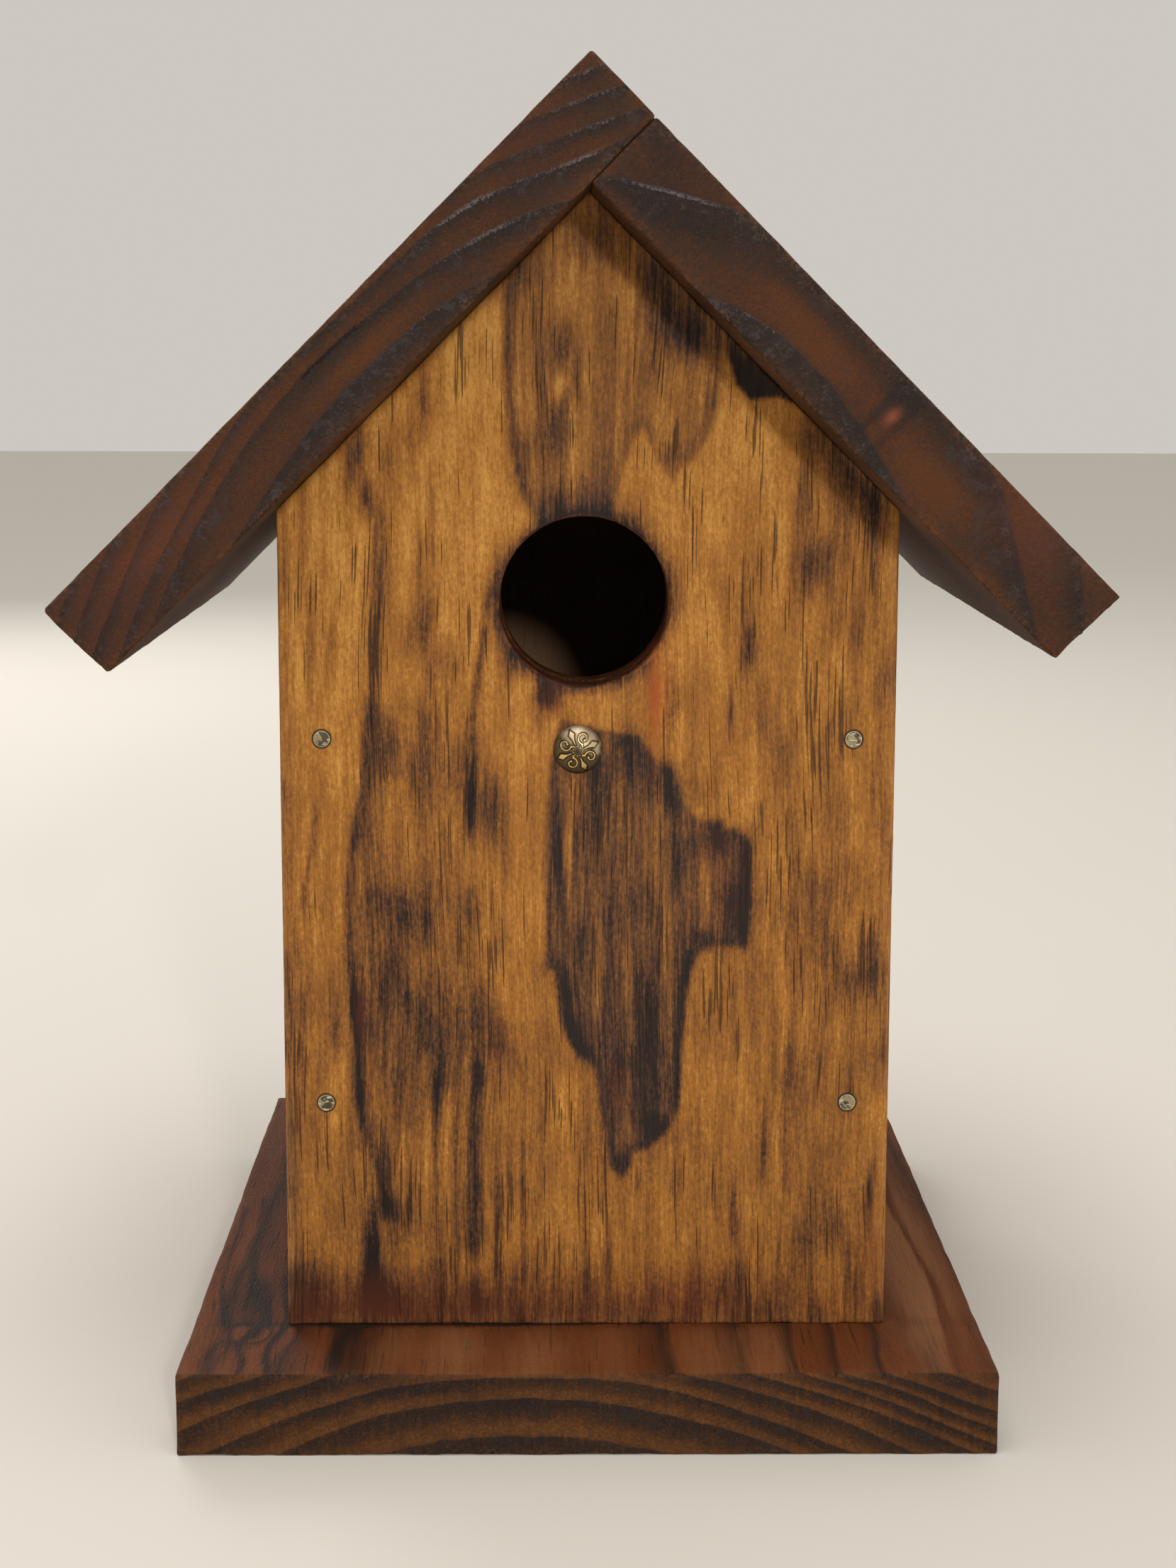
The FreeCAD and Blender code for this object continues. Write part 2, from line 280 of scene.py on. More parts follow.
def wander(points, size, seed, waves=7):
    # a smooth random field between about -1 and 1: a sum of sines in random directions
    random = np.random.default_rng(seed)
    directions = random.normal(size=(waves, 3))
    directions *= 2 * math.pi / size / np.linalg.norm(directions, axis=1, keepdims=True)
    directions *= random.uniform(0.6, 1.7, size=(waves, 1))
    return np.sin(points @ directions.T + random.uniform(0, 6.3, waves)).sum(axis=1) / math.sqrt(waves) / 1.4


def easeEdges(points, low, high, radius):
    # every point moves onto a sphere of the eased radius about its nearest point of the block's core
    radius = radius[:, None]
    core = np.clip(points, low + radius, high - radius)
    away = points - core
    return core + radius * away / np.linalg.norm(away, axis=1, keepdims=True)


def addMesh(name, points, quads, place, attributes, material):
    # place is the origin and the three axes that the points' own axes become
    origin, axes = place
    mesh = bpy.data.meshes.new(name)
    mesh.from_pydata((origin + points @ np.array(axes)) * mm, [], quads)
    for key, values in attributes.items():
        kind = "FLOAT_VECTOR" if values.ndim == 2 else "FLOAT"
        layer = mesh.attributes.new(key, kind, "POINT")
        layer.data.foreach_set("vector" if values.ndim == 2 else "value", values.astype(np.float32).ravel())
    mesh.polygons.foreach_set("use_smooth", np.ones(len(mesh.polygons), bool))
    mesh.materials.append(material)
    mesh.update()
    piece = bpy.data.objects.new(name, mesh)
    bpy.context.scene.collection.objects.link(piece)
    return piece


def standIn(piece, node):
    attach(piece, "root")
    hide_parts(node)


# Painting wood: soft dabs, veins with one crisp side, and islands with a crisp outline

def dab(x, z, across, up, wide, tall, lean=0.0):
    # 1 in the middle of an oval and fading to 0 round it; its top leans to the right by lean degrees
    turn = math.radians(lean)
    aside = (x - across) * math.cos(turn) - (z - up) * math.sin(turn)
    along = (x - across) * math.sin(turn) + (z - up) * math.cos(turn)
    return np.exp(-(aside / wide) ** 2 - (along / tall) ** 2)


def vein(x, z, knots, left, right, fade=6.0):
    # 1 along a line from knot to knot, fading over left and right millimetres to its sides and at its ends
    up = np.array([knot[1] for knot in knots])[::-1]
    across = np.array([knot[0] for knot in knots])[::-1]
    path = sum(np.interp(z + shift, up, across) for shift in (-4, -2, 0, 2, 4)) / 5
    aside = x - path
    side = np.exp(-(np.abs(aside) / np.where(aside > 0, right, left)) ** 1.6)
    return side * np.clip((up[-1] - z) / fade + 0.5, 0, 1) * np.clip((z - up[0]) / fade + 0.5, 0, 1)


def insideOf(x, z, outline):
    # distance in millimetres to a closed outline, positive inside it
    corners = np.array(outline, float)
    nearest = np.full(len(x), 1e9)
    inside = np.zeros(len(x), bool)
    for (x0, z0), (x1, z1) in zip(corners, np.roll(corners, -1, axis=0)):
        run, rise = x1 - x0, z1 - z0
        share = np.clip(((x - x0) * run + (z - z0) * rise) / (run * run + rise * rise), 0, 1)
        nearest = np.minimum(nearest, np.hypot(x - x0 - share * run, z - z0 - share * rise))
        if rise:
            crosses = ((z0 > z) != (z1 > z)) & (x < x0 + run * (z - z0) / rise)
            inside ^= crosses
    return np.where(inside, nearest, -nearest)


# the front panel's own figure: x from its middle line and z from the ground, in millimetres
frontFigure = {
    "honey": 0.81, "dabDepth": 0.92, "veinDepth": 1.3,
    "rise": {"middle": 175, "below": 150, "above": 25, "perMillimetre": 0.0011},  # lighter towards the top
    "washes": [  # x, z, half width, half height, how much lighter
        (-50, 200, 22, 40, .03), (50, 150, 28, 60, -.09), (0, 100, 90, 62, -.04), (32, 203, 16, 18, -.07),
        (-14, 135, 8, 40, -.03)],
    "foot": {"top": 35, "fade": 12, "dark": 0.44, "red": 0.36, "left": -70},  # the scorched lower edge
    "islands": [  # crisp outlines, each with how dark it is inside
        (0.31, [(-6, 162), (-8.5, 152), (-9.6, 135), (-9.8, 120), (-9.6, 110), (-10, 103), (-7.6, 105),
                (-6.4, 100), (-5.6, 92), (-4, 88), (-2, 85), (0, 83.5), (2, 81), (3, 76), (4, 68),
                (5, 62), (6, 57), (8, 54.5), (9.5, 57), (11, 61), (14, 61.5), (17, 65), (20, 68),
                (21, 72), (21.5, 85), (22, 95), (23, 103), (25, 107.5), (29, 110), (36.5, 109.5),
                (37.3, 120), (37.3, 134), (34, 137), (31.5, 137), (31, 139), (25, 138.8), (22.5, 141.5),
                (21, 146), (19.8, 151.5), (15, 153), (12, 158), (2, 160)]),
        (0.16, [(-17, 266), (-18.3, 255), (-18.5, 245), (-17.8, 232), (-16.8, 222), (-15, 214),
                (-12, 208), (-10, 200), (4, 200), (5.5, 212), (8, 220), (10.5, 226.5), (12, 228),
                (13, 226), (15, 221.5), (17, 218.5), (18.7, 216), (20.5, 218.5), (23, 220.5), (26, 225),
                (28.5, 232), (29.8, 240), (30, 262), (0, 290)]),
        (0.95, [(30.8, 260), (31, 244), (33, 237.5), (36, 234.5), (42, 235), (48, 232.5), (53, 231),
                (60, 236)])],
    "veins": [  # knots from the top down, softness to the left and right, darkness
        ([(-49.5, 214), (-47.8, 200), (-48.4, 188), (-48.8, 175), (-49.4, 162)], 0.8, 1.8, 0.30),
        ([(-49.6, 165), (-51, 148), (-53, 138), (-55, 125), (-55.3, 112), (-54.5, 100),
          (-53, 88)], 0.6, 3.2, 0.30),
        ([(-54.5, 100), (-53, 88), (-53.5, 75), (-51, 64), (-48, 55), (-47, 46)], 0.6, 1.9, 0.34),
        ([(-22.4, 193), (-24, 178), (-26, 165), (-26.2, 150), (-27, 135)], 0.7, 1.0, 0.38),
        ([(-24.8, 84), (-26, 70), (-26.6, 60), (-26, 50), (-26.6, 36)], 1.7, 1.5, 0.46),
        ([(-62, 142), (-63.5, 130), (-66, 116)], 0.7, 1.2, 0.30),
        ([(-18.2, 262), (-18.6, 245), (-17.8, 232), (-16.8, 222), (-14.5, 212)], 0.7, 1.6, 0.26),
        ([(37.2, 136), (37.2, 122), (36.6, 110)], 1.8, 0.6, 0.22),
        ([(23.5, 106), (22, 95), (21.4, 84), (21, 70)], 1.7, 0.6, 0.36),
        ([(-6.5, 104), (-5.4, 92), (-3, 86), (0, 82)], 0.8, 2.6, 0.40)],
    "dabs": [  # x, z, half width, half height, darkness, lean
        (-68, 150, 2, 60, .16, 0), (-62.6, 176, .8, 12, .40, 0), (-58, 178, 1.0, 9, .25, 3),
        (-66, 95, 4, 16, .18, 0), (-58, 90, 1.5, 8, .25, 0), (-68.5, 60, 1.6, 30, .25, 0),
        (-64, 205, 1.0, 12, .25, 0), (-68, 200, .9, 14, .25, 0), (-38, 112, 15, 48, .20, 0),
        (-46, 155, 4.5, 8, .32, 0), (-38, 150, 4, 9, .26, 0), (-50, 136, 3, 16, .22, 0),
        (-40, 116, 5, 7, .34, -12), (-45, 120, 5, 6, .22, -12), (-50.5, 113, 2, 8, .18, 0),
        (-30, 150, 3.5, 9, .22, 0), (-22, 142, 3.2, 8, .46, 0), (-27, 143, 1.6, 8, .42, 0),
        (-27, 118, 2.5, 6, .2, 0), (-44, 103, 4, 9, .25, 0), (-38, 92, 4.5, 8, .30, -15),
        (-47, 93, 3, 12, .26, 0), (-25, 92, 4.5, 10, .40, -8), (-20, 87, 2.6, 6, .34, -8),
        (-35, 78, 3, 9, .2, 0), (-42, 75, 3, 10, .22, 0), (-52.5, 75, 1.8, 10, .26, 0),
        (-37, 184, 2.8, 8, .42, 6), (-34, 175, 2, 4.5, .36, 0), (-41, 180, 1.3, 6, .25, 0),
        (-46, 205, 2.2, 12, .26, 0), (-46, 190, 1.8, 10, .26, 0), (-36, 163, 3, 8, .28, 0),
        (-31, 172, 2, 7, .16, 0), (-39, 226, 3, 10, .24, 8), (-36.5, 236, 1.0, 9, .32, 0),
        (-45, 222, 2.5, 8, .22, 0), (-51.8, 222, 2.0, 7, .72, 8), (-50, 213, 1.2, 5, .5, 8),
        (-35, 205, .9, 16, .28, 0), (-38, 196, .8, 16, .22, 0), (-20.5, 45, .6, 15, .42, 0),
        (-17.8, 54, .5, 8, .36, 0), (-15, 50, .5, 14, .34, 0), (-35, 60, .6, 16, .42, 0),
        (-30.5, 62, .6, 26, .40, 0), (-41.5, 45, .6, 10, .32, 0), (-47, 60, .7, 10, .30, 0),
        (-50, 37, 2.3, 13, .66, 0), (-46, 47, 4, 3, .36, 20), (-44, 41, 4, 5, .2, 0),
        (-48.5, 26, 5, 6, .36, 0), (-67, 28, 5, 8, .42, 0), (-26, 25, 5, 6, .30, 0),
        (-35, 33, 4, 4, .22, 0), (69.5, 22, 2.2, 4, .7, 0), (-5.5, 120, 2.0, 16, .26, -3),
        (4, 100, 1.6, 25, .2, 0), (15, 95, 4, 20, .10, 0), (9, 151, 8, 6, .26, 0),
        (19, 146, 3, 6, .28, 0), (29, 134.5, 6.5, 4, .42, -10), (34.5, 118, 3, 9, .28, 0),
        (27, 111.5, 3, 2.5, .34, 25), (26, 122, 4, 6, -.14, 0), (31, 126, 2, 4, -.12, 0),
        (17, 128, 2.6, 12, -.10, 0), (-4.8, 134, .5, 6, -.5, 3), (-8.7, 132, .7, 14, -.2, 0),
        (-4, 131, .6, 10, -.45, 2), (2.1, 100, .7, 7, -.32, 0), (9, 92, 3, 12, .10, 0),
        (16.5, 66.5, 4.5, 2.4, .36, 28), (8, 58.5, 2.6, 3.2, .30, 0), (6, 73, 2.4, 12, .12, 0),
        (2, 142, 1.4, 9, .18, 0), (12, 74, 3, 8, .10, 0), (20, 253, 7, 8, .50, 0),
        (24, 247, 5, 4, .36, 0), (15, 263, 5, 6, .42, 0), (-6, 246, 2.8, 6, .32, 0),
        (-7, 228, 3.2, 7, .40, 0), (-4, 238, 1.4, 5, .25, 15), (-6.6, 236.5, 1.3, 3.4, -.52, 12),
        (-12, 224, 3, 5, .2, 0), (-1, 212, 5, 4, .34, 0), (-8, 210, 4, 3.5, .30, 0),
        (4, 224, 1.8, 8, .2, 0), (0, 257, 9, 8, -.10, 0), (27, 236, 2, 7, .2, 0), (1, 270, 6, 7, .30, 0),
        (-14.5, 262, 3, 5, .28, 0), (19, 222, 4, 2.6, .25, 0), (50, 197, 2.6, 7, .52, 4),
        (49, 211, 2.2, 8, .34, 0), (47.4, 215, .7, 12, .25, 3), (57, 205, 2.6, 12, .26, 0),
        (54.5, 196, .8, 9, .32, 0), (53.5, 216, .8, 6, .3, 0), (62, 212, 5, 8, .34, 0),
        # the last two dabs on the next line lean 45 degrees along the right roof's edge: a painted shadow of
        # that roof's overhang
        (66, 206, 3, 10, .30, 0), (54, 224, 9, 5, .40, 45), (62, 216, 8, 5, .36, 45),
        (36, 178, 1.5, 6, .46, 2), (32.3, 165, .6, 6, .42, 0), (56, 186, 1.2, 5, .22, 0),
        (61, 182, 2, 10, .2, 0), (65, 190, .8, 20, .3, 0), (67.5, 170, 2.2, 9, .42, 0),
        (65, 145, .6, 8, .46, 4), (68, 140, 1.2, 9, .3, 0), (20.5, 190, 1.2, 12, .18, 0),
        (18.8, 166, 1.2, 8, .5, 0), (-9.5, 168, 2.6, 2.6, 1.0, 30), (-11, 163, 1.2, 4, .3, 0),
        (13, 178, .8, 5, .28, 0), (10, 158, 4, 4, .22, 0), (-7.5, 166, 2.4, 3, .36, 20),
        (-5, 161, 2, 4, .2, 0), (55, 118, 8, 14, .18, 20), (62, 103, 6, 8, .28, 25),
        (66, 108, 1.2, 10, .34, 0), (45, 125, 5, 8, .10, 20), (50, 80, 6, 10, .16, 0),
        (45.8, 66, 1.2, 14, .26, 0), (41, 64, .5, 10, .36, 0), (47, 85, .7, 10, .26, 3),
        (58, 45, 6, 10, .22, 20), (52, 38, 4, 6, .2, 0), (34, 44, 1.6, 9, .36, 0),
        (36, 30, 1.2, 7, .38, 0), (33, 27, 2, 6, .24, 0), (66, 52, .7, 9, .45, 8), (63, 30, 3, 7, .2, 0),
        (45, 37, .5, 6, .3, 0), (5, 36, .9, 6, .46, 0), (12, 53, .8, 3, .3, 0), (68, 85, 1.2, 8, .3, 0),
        (61, 76, .5, 14, .26, 2), (-15, 130, 4, 40, -.05, 0), (30, 205, 7, 10, -.03, 0),
        (-58, 200, 3, 10, -.04, 0), (43, 150, 5, 14, .10, 0), (-12, 70, 6, 10, .04, 0),
        # the three dabs on the next line lean 45 degrees along the left roof's edge: a painted shadow of that
        # roof's overhang
        (-60, 230, 7, 3, .3, 45), (-25, 262, 8, 2, .3, 45), (-45, 240, 8, 2, .25, 45)],
    "red": [  # x, z, half width, half height, how red
        (15.4, 167, 1.9, 10, 1.4), (-8, 165, 3, 5, .3), (-52, 95, 1.2, 8, .3), (-50.3, 80, .5, 6, .4),
        (67, 36, 3, 12, .3), (7, 76, 2, 6, .2), (30, 128, 5, 12, .1), (-66, 210, 6, 8, .15),
        (-20, 90, 4, 12, .1), (24, 26, 12, 6, .2)]}


def paintFront(x, z):
    # tone falls from honey by the depth of every island, vein and dab; char is the distance into an island
    figure = frontFigure
    rise, foot = figure["rise"], figure["foot"]
    above = np.clip(z - rise["middle"], -rise["below"], rise["above"])
    tone = figure["honey"] + rise["perMillimetre"] * above
    for across, up, wide, tall, lighter in figure["washes"]:
        tone += lighter * dab(x, z, across, up, wide, tall)
    char = np.full(len(x), -40.0)
    for depth, outline in figure["islands"]:
        distance = insideOf(x, z, outline)
        tone -= depth * np.clip(distance / 1.4 + 0.5, 0, 1)
        char = np.maximum(char, distance)
    for knots, left, right, depth in figure["veins"]:
        tone -= figure["veinDepth"] * depth * vein(x, z, knots, left, right)
    for across, up, wide, tall, depth, lean in figure["dabs"]:
        tone -= figure["dabDepth"] * depth * dab(x, z, across, up, wide, tall, lean)
    red = sum(depth * dab(x, z, across, up, wide, tall) for across, up, wide, tall, depth in figure["red"])
    low = np.clip((foot["top"] - z) / foot["fade"], 0, 1)
    tone -= foot["dark"] * low * np.clip(1.15 - (x - foot["left"]) / 190, 0.3, 1)
    red = red + foot["red"] * low * np.clip(1.2 - (x - foot["left"]) / 150, 0.1, 1)
    return {"tone": tone, "char": char, "red": red}


plainFigure = {
    "honey": 0.74, "stretch": 0.16, "cloudSize": 26.0, "cloudDepth": 0.13, "streakSize": 9.0,
    "streakDepth": 0.08, "patchSize": 34.0, "patchReach": 9, "patchRare": 5, "patchDepth": 0.34,
    "innerTone": 0.40, "skin": 2.0,
    "footTop": 34, "footFade": 12, "footDark": 0.24, "footRed": 0.5}


def paintPlain(seed):
    # a figure of the same kind for a board that has none of its own; its inner face, at w = 0, is darker
    def paint(x, z, w):
        figure = plainFigure
        flat = np.stack([x, z * figure["stretch"], np.zeros_like(x)], axis=1)
        clouds = wander(flat, figure["cloudSize"], seed)
        patches = wander(flat * (1, 1.2, 1), figure["patchSize"], seed + 1)
        patches = patches * figure["patchReach"] - figure["patchRare"]
        streaks = wander(flat * (1, 0.5, 1), figure["streakSize"], seed + 2)
        inner = np.clip(1 - w / figure["skin"], 0, 1)
        low = np.clip((figure["footTop"] - z) / figure["footFade"], 0, 1)
        tone = figure["honey"] - figure["cloudDepth"] * clouds - figure["streakDepth"] * streaks
        tone = tone - figure["patchDepth"] * np.clip(patches / 1.4 + 0.5, 0, 1)
        plain = figure["innerTone"] + 0.03 * clouds
        tone = np.where(w < figure["skin"], plain, tone - figure["footDark"] * low)
        red = figure["footRed"] * low * (1 - inner)
        return {"tone": tone, "char": patches, "red": red, "inner": inner}
    return paint


# The growth rings on the end grain: each curve is the outer edge of one ring's dark late wood, from the
# innermost ring outwards, as (across, up) in millimetres. Between two curves the ring number rises evenly.
baseRings = {
    "curves": [
        [(-60, -4), (-44, 1), (-32, 3.6), (-18, 4.6), (0, 4.0), (10, 2.2), (17, 0.4), (26, -3)],
        [(-78, -5), (-70, 0), (-63, 3.2), (-55, 6.7), (-45, 9.9), (-30, 12.5), (-14, 13.5), (0, 12.8),
         (10, 11.2), (20, 9), (30, 6.4), (40, 3), (47, 0), (54, -4)],
        [(-93, -3.5), (-86, 0.4), (-75, 5.5), (-65, 9.7), (-55, 13), (-46, 15.6), (-34, 17.5),
         (-20, 18.2), (0, 18), (10, 17.1), (20, 14.9), (30, 11.8), (40, 8.2), (50, 4.3), (58, 1),
         (66, -3)],
        [(-93, 5), (-85, 9), (-75, 12.8), (-65, 16.1), (-57, 19), (-45, 21.5), (-20, 23), (10, 21),
         (21, 19), (30, 17), (38, 14.7), (50, 10.8), (60, 6.8), (70, 2), (79, -3)],
        [(-93, 12.2), (-85, 15), (-75, 18), (-72, 19), (-55, 23), (-20, 26.5), (25, 22), (37, 19),
         (45, 16.6), (55, 13.5), (65, 10), (75, 5.8), (85, 1.4), (93, -3)],
        [(-93, 16.8), (-88, 19), (-70, 24), (-20, 30), (38, 22), (48, 19), (57, 16.3), (68, 12.4),
         (78, 8), (93, 1.6)],
        [(-93, 22), (-20, 34), (48, 21.5), (57, 19), (65, 16.9), (75, 13.2), (82, 9.7), (93, 5.4)],
        [(-93, 26), (-20, 38), (58, 21.6), (67, 19), (75, 16.4), (85, 12.4), (93, 9.6)],
        [(-93, 30), (-20, 42), (72, 21.6), (80, 19.2), (93, 14.6)],
        [(-93, 34), (-20, 46), (84, 22), (93, 19.6)]],
    "whorls": [(-76, 26, 6, 8, 1.0)], "bend": 2.6, "seed": 11,
    "threads": [  # dark lines on the top, as (across, distance from the front), furthest first
        [(-90, 120), (-89, 60), (-87, 45), (-84, 30), (-82, 18), (-84, 8), (-86, -4)],
        [(-86, 130), (-82, 62), (-78.5, 46), (-74.5, 36), (-78, 27), (-81, 18), (-78, 8), (-79, -4)],
        [(-76, 120), (-73, 60), (-71.5, 44), (-70, 34), (-72, 24), (-74, 14), (-71, -4)],
        [(84, 200), (82, 120), (85, 60), (83, -4)]],
    # each: across, distance from the front, half width, half length, darkness; below zero is lighter
    # the two long thin ones, 33 and 31.6 millimetres from the front, are a painted shadow under the front
    # panel and painted shade in the joint along its foot
    "stainsAndShadows": [(-57, 12, 2.2, 15, .9), (-54, 28, 4, 7, .7), (-80, 48, 6, 20, .9), (-77, 25, 2, 4, .6),
               (-87, 20, 2, 20, .5), (0, 33, 70, 3.2, .45), (-32, 31.6, 38, 0.9, 1.2),
               (-20, 14, 26, 12, -.15), (82, 80, 8, 55, -.7), (-88, 90, 4, 40, -.3),
               (30, 12, 40, 20, -.1)],
    "marks": [(-40, 17, 12, 3, -.5, 0, 0), (-5, 15.3, 18, 1.6, .35, 0, 0), (-8, 8, 20, 3, .3, 0, 0),
              (62, 9, 30, 8, .12, 0, 0), (-66, 10, 20, 6, .1, 0, 0)]}

roofRightRings = {
    "curves": [
        [(20, -5), (33, 0.4), (38, 2.5), (44, 4.5), (50, 5.8), (58, 6.4), (66, 6.2), (73, 5.1), (80, 3.8),
         (88, 2), (95, 0.2), (110, -5)],
        [(-6, -2.5), (0.5, 2), (5, 5.3), (12, 9.6), (20, 14.2), (28.5, 18.8), (36, 21.6), (60, 25),
         (85, 22.5), (100, 19), (108, 16), (117, 11), (125, 6), (134, 0.8), (142, -4)],
        [(-6, 20), (0, 23), (30, 36), (60, 42), (95, 36), (118, 27), (128, 19), (142, 8)],
        [(-6, 44), (60, 60), (142, 32)]],
    "whorls": [], "stainsAndShadows": [], "bend": 2.0, "seed": 12,
    "marks": [(57, 10.5, 15, 3.4, 1.2, 0, 0), (95, 8, 15, 5, 1.15, 0, 0), (79.2, 11, 1.1, 1.9, .2, .6, 0),
              (78.5, 16.5, 3.2, 3.4, -1.1, 0, 0), (76.3, 9, 1.2, 7, -.9, 0, 0),
              (81.6, 9, 1.1, 7, -.8, 0, 0), (118, 15, 12, 6, .1, .12, 0), (10, 15, 14, 7, -.8, .03, 0),
              (14, 5, 9, 4, -.6, 0, 0), (24, 9, 8, 4, -.3, 0, 0), (14.5, 11, 15, 10, 0, 0, .9),
              (45, 4, 8, 2.4, 0, 0, .5), (60, 17, 18, 3, -.4, 0, .25)]}

roofLeftRings = {
    "curves": [
        [(12, -5), (27, 0.4), (35, 3), (45, 5), (55, 5.9), (68, 6.1), (80, 5.3), (90, 3.8), (98, 2),
         (105, 0.4), (122, -5)],
        [(-4, -4.5), (6, 0.4), (9, 2.4), (15, 5), (22, 7.6), (30, 10), (40, 12), (50, 13.2), (60, 14),
         (70, 14.4), (80, 14.2), (90, 13), (100, 10.9), (110, 8.4), (120, 5), (128, 2), (140, -4)],
        [(-22, -3.5), (-12, 1), (-5, 3.5), (2, 6.5), (10, 10.5), (20, 14.3), (30, 16.5), (40, 17.2),
         (60, 18), (76, 18.7), (85, 18.2), (92, 17), (100, 14.8), (110, 12), (120, 9), (130, 5.5),
         (143, 0), (150, -3)],
        [(-20, 2.4), (-12, 6), (-5, 9.5), (0, 11.6), (5, 14), (12, 17), (20, 19.6), (40, 23), (70, 24),
         (95, 21.5), (108, 18.6), (115, 16.5), (125, 13), (135, 9), (147, 4.2)],
        [(-20, 8.4), (-12, 12.5), (-5, 15.5), (2, 18.8), (30, 27), (70, 30), (110, 23), (125, 18.8),
         (132, 16), (140, 12.6), (147, 9.2)],
        [(-20, 14.4), (-12, 18), (-8, 19.6), (30, 33), (70, 36), (125, 24), (138, 18.6), (147, 14.2)],
        [(-20, 20), (30, 39), (70, 42), (147, 19.4)]],
    "whorls": [], "stainsAndShadows": [], "bend": 2.0, "seed": 13,
    "marks": [(52, 8.5, 16, 2.6, .7, 0, 0), (62, 9, 10, 2, .4, 0, 0), (93, 16, 14, 2.4, .35, 0, 0),
              (120, 12, 18, 5, .15, .1, 0), (20, 8, 16, 4, -.25, 0, 0), (0, 14, 12, 5, -.25, .06, 0),
              (60, 13.6, 26, 1.6, 0, 0, .8), (22, 8.5, 12, 4, 0, 0, .9), (62, 14.2, 14, 2, 0, 0, -1.3),
              (22, 15, 12, 3, 0, 0, .9), (-2, 5, 12, 4, 0, 0, .9), (-12, 15, 9, 6, 0, 0, .7),
              (45, 5, 16, 1.6, 0, 0, .3), (108, 11, 26, 6, .35, 0, 0), (75, 12, 50, 8, .15, 0, 0),
              (135, 8, 18, 14, -.35, .03, 0)]}


def ringNumber(across, up, curves):
    # the ring number at a place, and how far above the nearest curve it lies
    curves = [np.array(curve, float).T for curve in curves]
    heights = [np.interp(across, *curve) for curve in curves]
    rises = [np.interp(across + 0.5, *curve) - np.interp(across - 0.5, *curve) for curve in curves]
    rings = 1 + (up - heights[0]) / (heights[1] - heights[0]).clip(2) * 0.6
    above = np.array([(up - high) / np.hypot(1, rise) for high, rise in zip(heights, rises)])
    gap = above[np.argmin(np.abs(above), axis=0), np.arange(len(up))]
    for number, (low, high) in enumerate(zip(heights, heights[1:]), start=1):
        share = (up - low) / (high - low).clip(0.5)
        rings = np.where(up > low, number + np.clip(share, 0, 1), rings)
    return rings, gap


ringSettings = {
    "length": 216.0, "long": 130.0, "kink": 38.0, "kinkSize": 0.8, "freshEnd": 12, "rise": 1.2, "markFade": 9,
    "cloudSize": 40.0, "cloudDepth": 0.10, "stainSize": 26.0, "stainDepth": 0.35, "stainRare": 0.25,
    "threadDark": 0.95, "threadLeft": 0.6, "threadRight": 1.3}


def paintRings(figure):
    # across and up may wander along the board, and a whorl raises the ring number round a place on its face
    def paint(u, v, w):
        rule, seed = ringSettings, figure["seed"]
        deep = np.abs(v - figure["front"])
        far = deep / rule["length"]
        sway = figure["bend"] * wander(np.stack([u * 0.5, v, w * 0], axis=1), rule["long"], seed)
        sway += rule["kinkSize"] * wander(np.stack([u, v, w], axis=1), rule["kink"], seed + 1)
        sway = sway * np.clip(far * rule["freshEnd"], 0, 1)
        rings, gap = ringNumber(u + sway, w + rule["rise"] * far, figure["curves"])
        for across, along, wide, long, depth in figure["whorls"]:
            rings = rings + depth * np.exp(-((u - across) / wide) ** 2 - ((deep - along) / long) ** 2)
        tone, red, glint = np.zeros_like(u), np.zeros_like(u), np.zeros_like(u)
        clouds = wander(np.stack([u, v * 0.3, w * 0.5], axis=1), rule["cloudSize"], seed + 5)
        tone += rule["cloudDepth"] * clouds
        for across, up, wide, tall, depth, redness, gloss in figure["marks"]:
            spot = dab(u, w, across, up, wide, tall) * np.exp(-far * rule["markFade"])
            tone += depth * spot
            red += redness * spot
            glint += gloss * spot
        stain = wander(np.stack([u, v * 0.06, w], axis=1), rule["stainSize"], seed + 7)
        stain = rule["stainDepth"] * stain - rule["stainRare"]
        for across, along, wide, long, depth in figure["stainsAndShadows"]:
            stain += depth * dab(u, deep, across, along, wide, long)
        onTop = np.clip(w / 4 - 3.5, 0, 1)
        for knots in figure.get("threads", ()):
            thread = vein(u, deep, knots, rule["threadLeft"], rule["threadRight"])
            stain += rule["threadDark"] * thread * onTop
        return {"rings": rings, "gap": gap, "near": np.abs(gap), "tone": tone, "red": red, "glint": glint,
                "stain": stain}
    return paint


# Wood finishes: a layer is a noise, given by its stretch (cycles per millimetre across, along and through the
# board), its shift, detail and roughness

grainLayers = {  # these waver along the board
    "broad": ((0.34, 0.020, 0.34), (3, 1, 2), 3, 0.5), "streak": ((1.0, 0.045, 1.0), (7, 3, 5), 3, 0.6),
    "fine": ((2.6, 0.12, 2.6), (2, 9, 4), 2, 0.5), "hairs": ((1.7, 0.045, 1.7), (5, 5, 1), 1, 0.5)}
grainWaver = {"stretch": (0.02, 0.012, 0.02), "reach": 6.0}


def woodGrain(shader, grain, others):
    # streaks and hair-thin pores that run along the board's second axis, and the layers of one finish
    waver = shader.noise(grain, grainWaver["stretch"], detail=1)
    shift = shader.node("ShaderNodeCombineXYZ", {}, {0: (waver - 0.5) * grainWaver["reach"]})
    bent = shader.node("ShaderNodeVectorMath", {"operation": "ADD"}, {0: grain, 1: shift})
    return {**shader.layers(bent, grainLayers), **shader.layers(grain, others)}


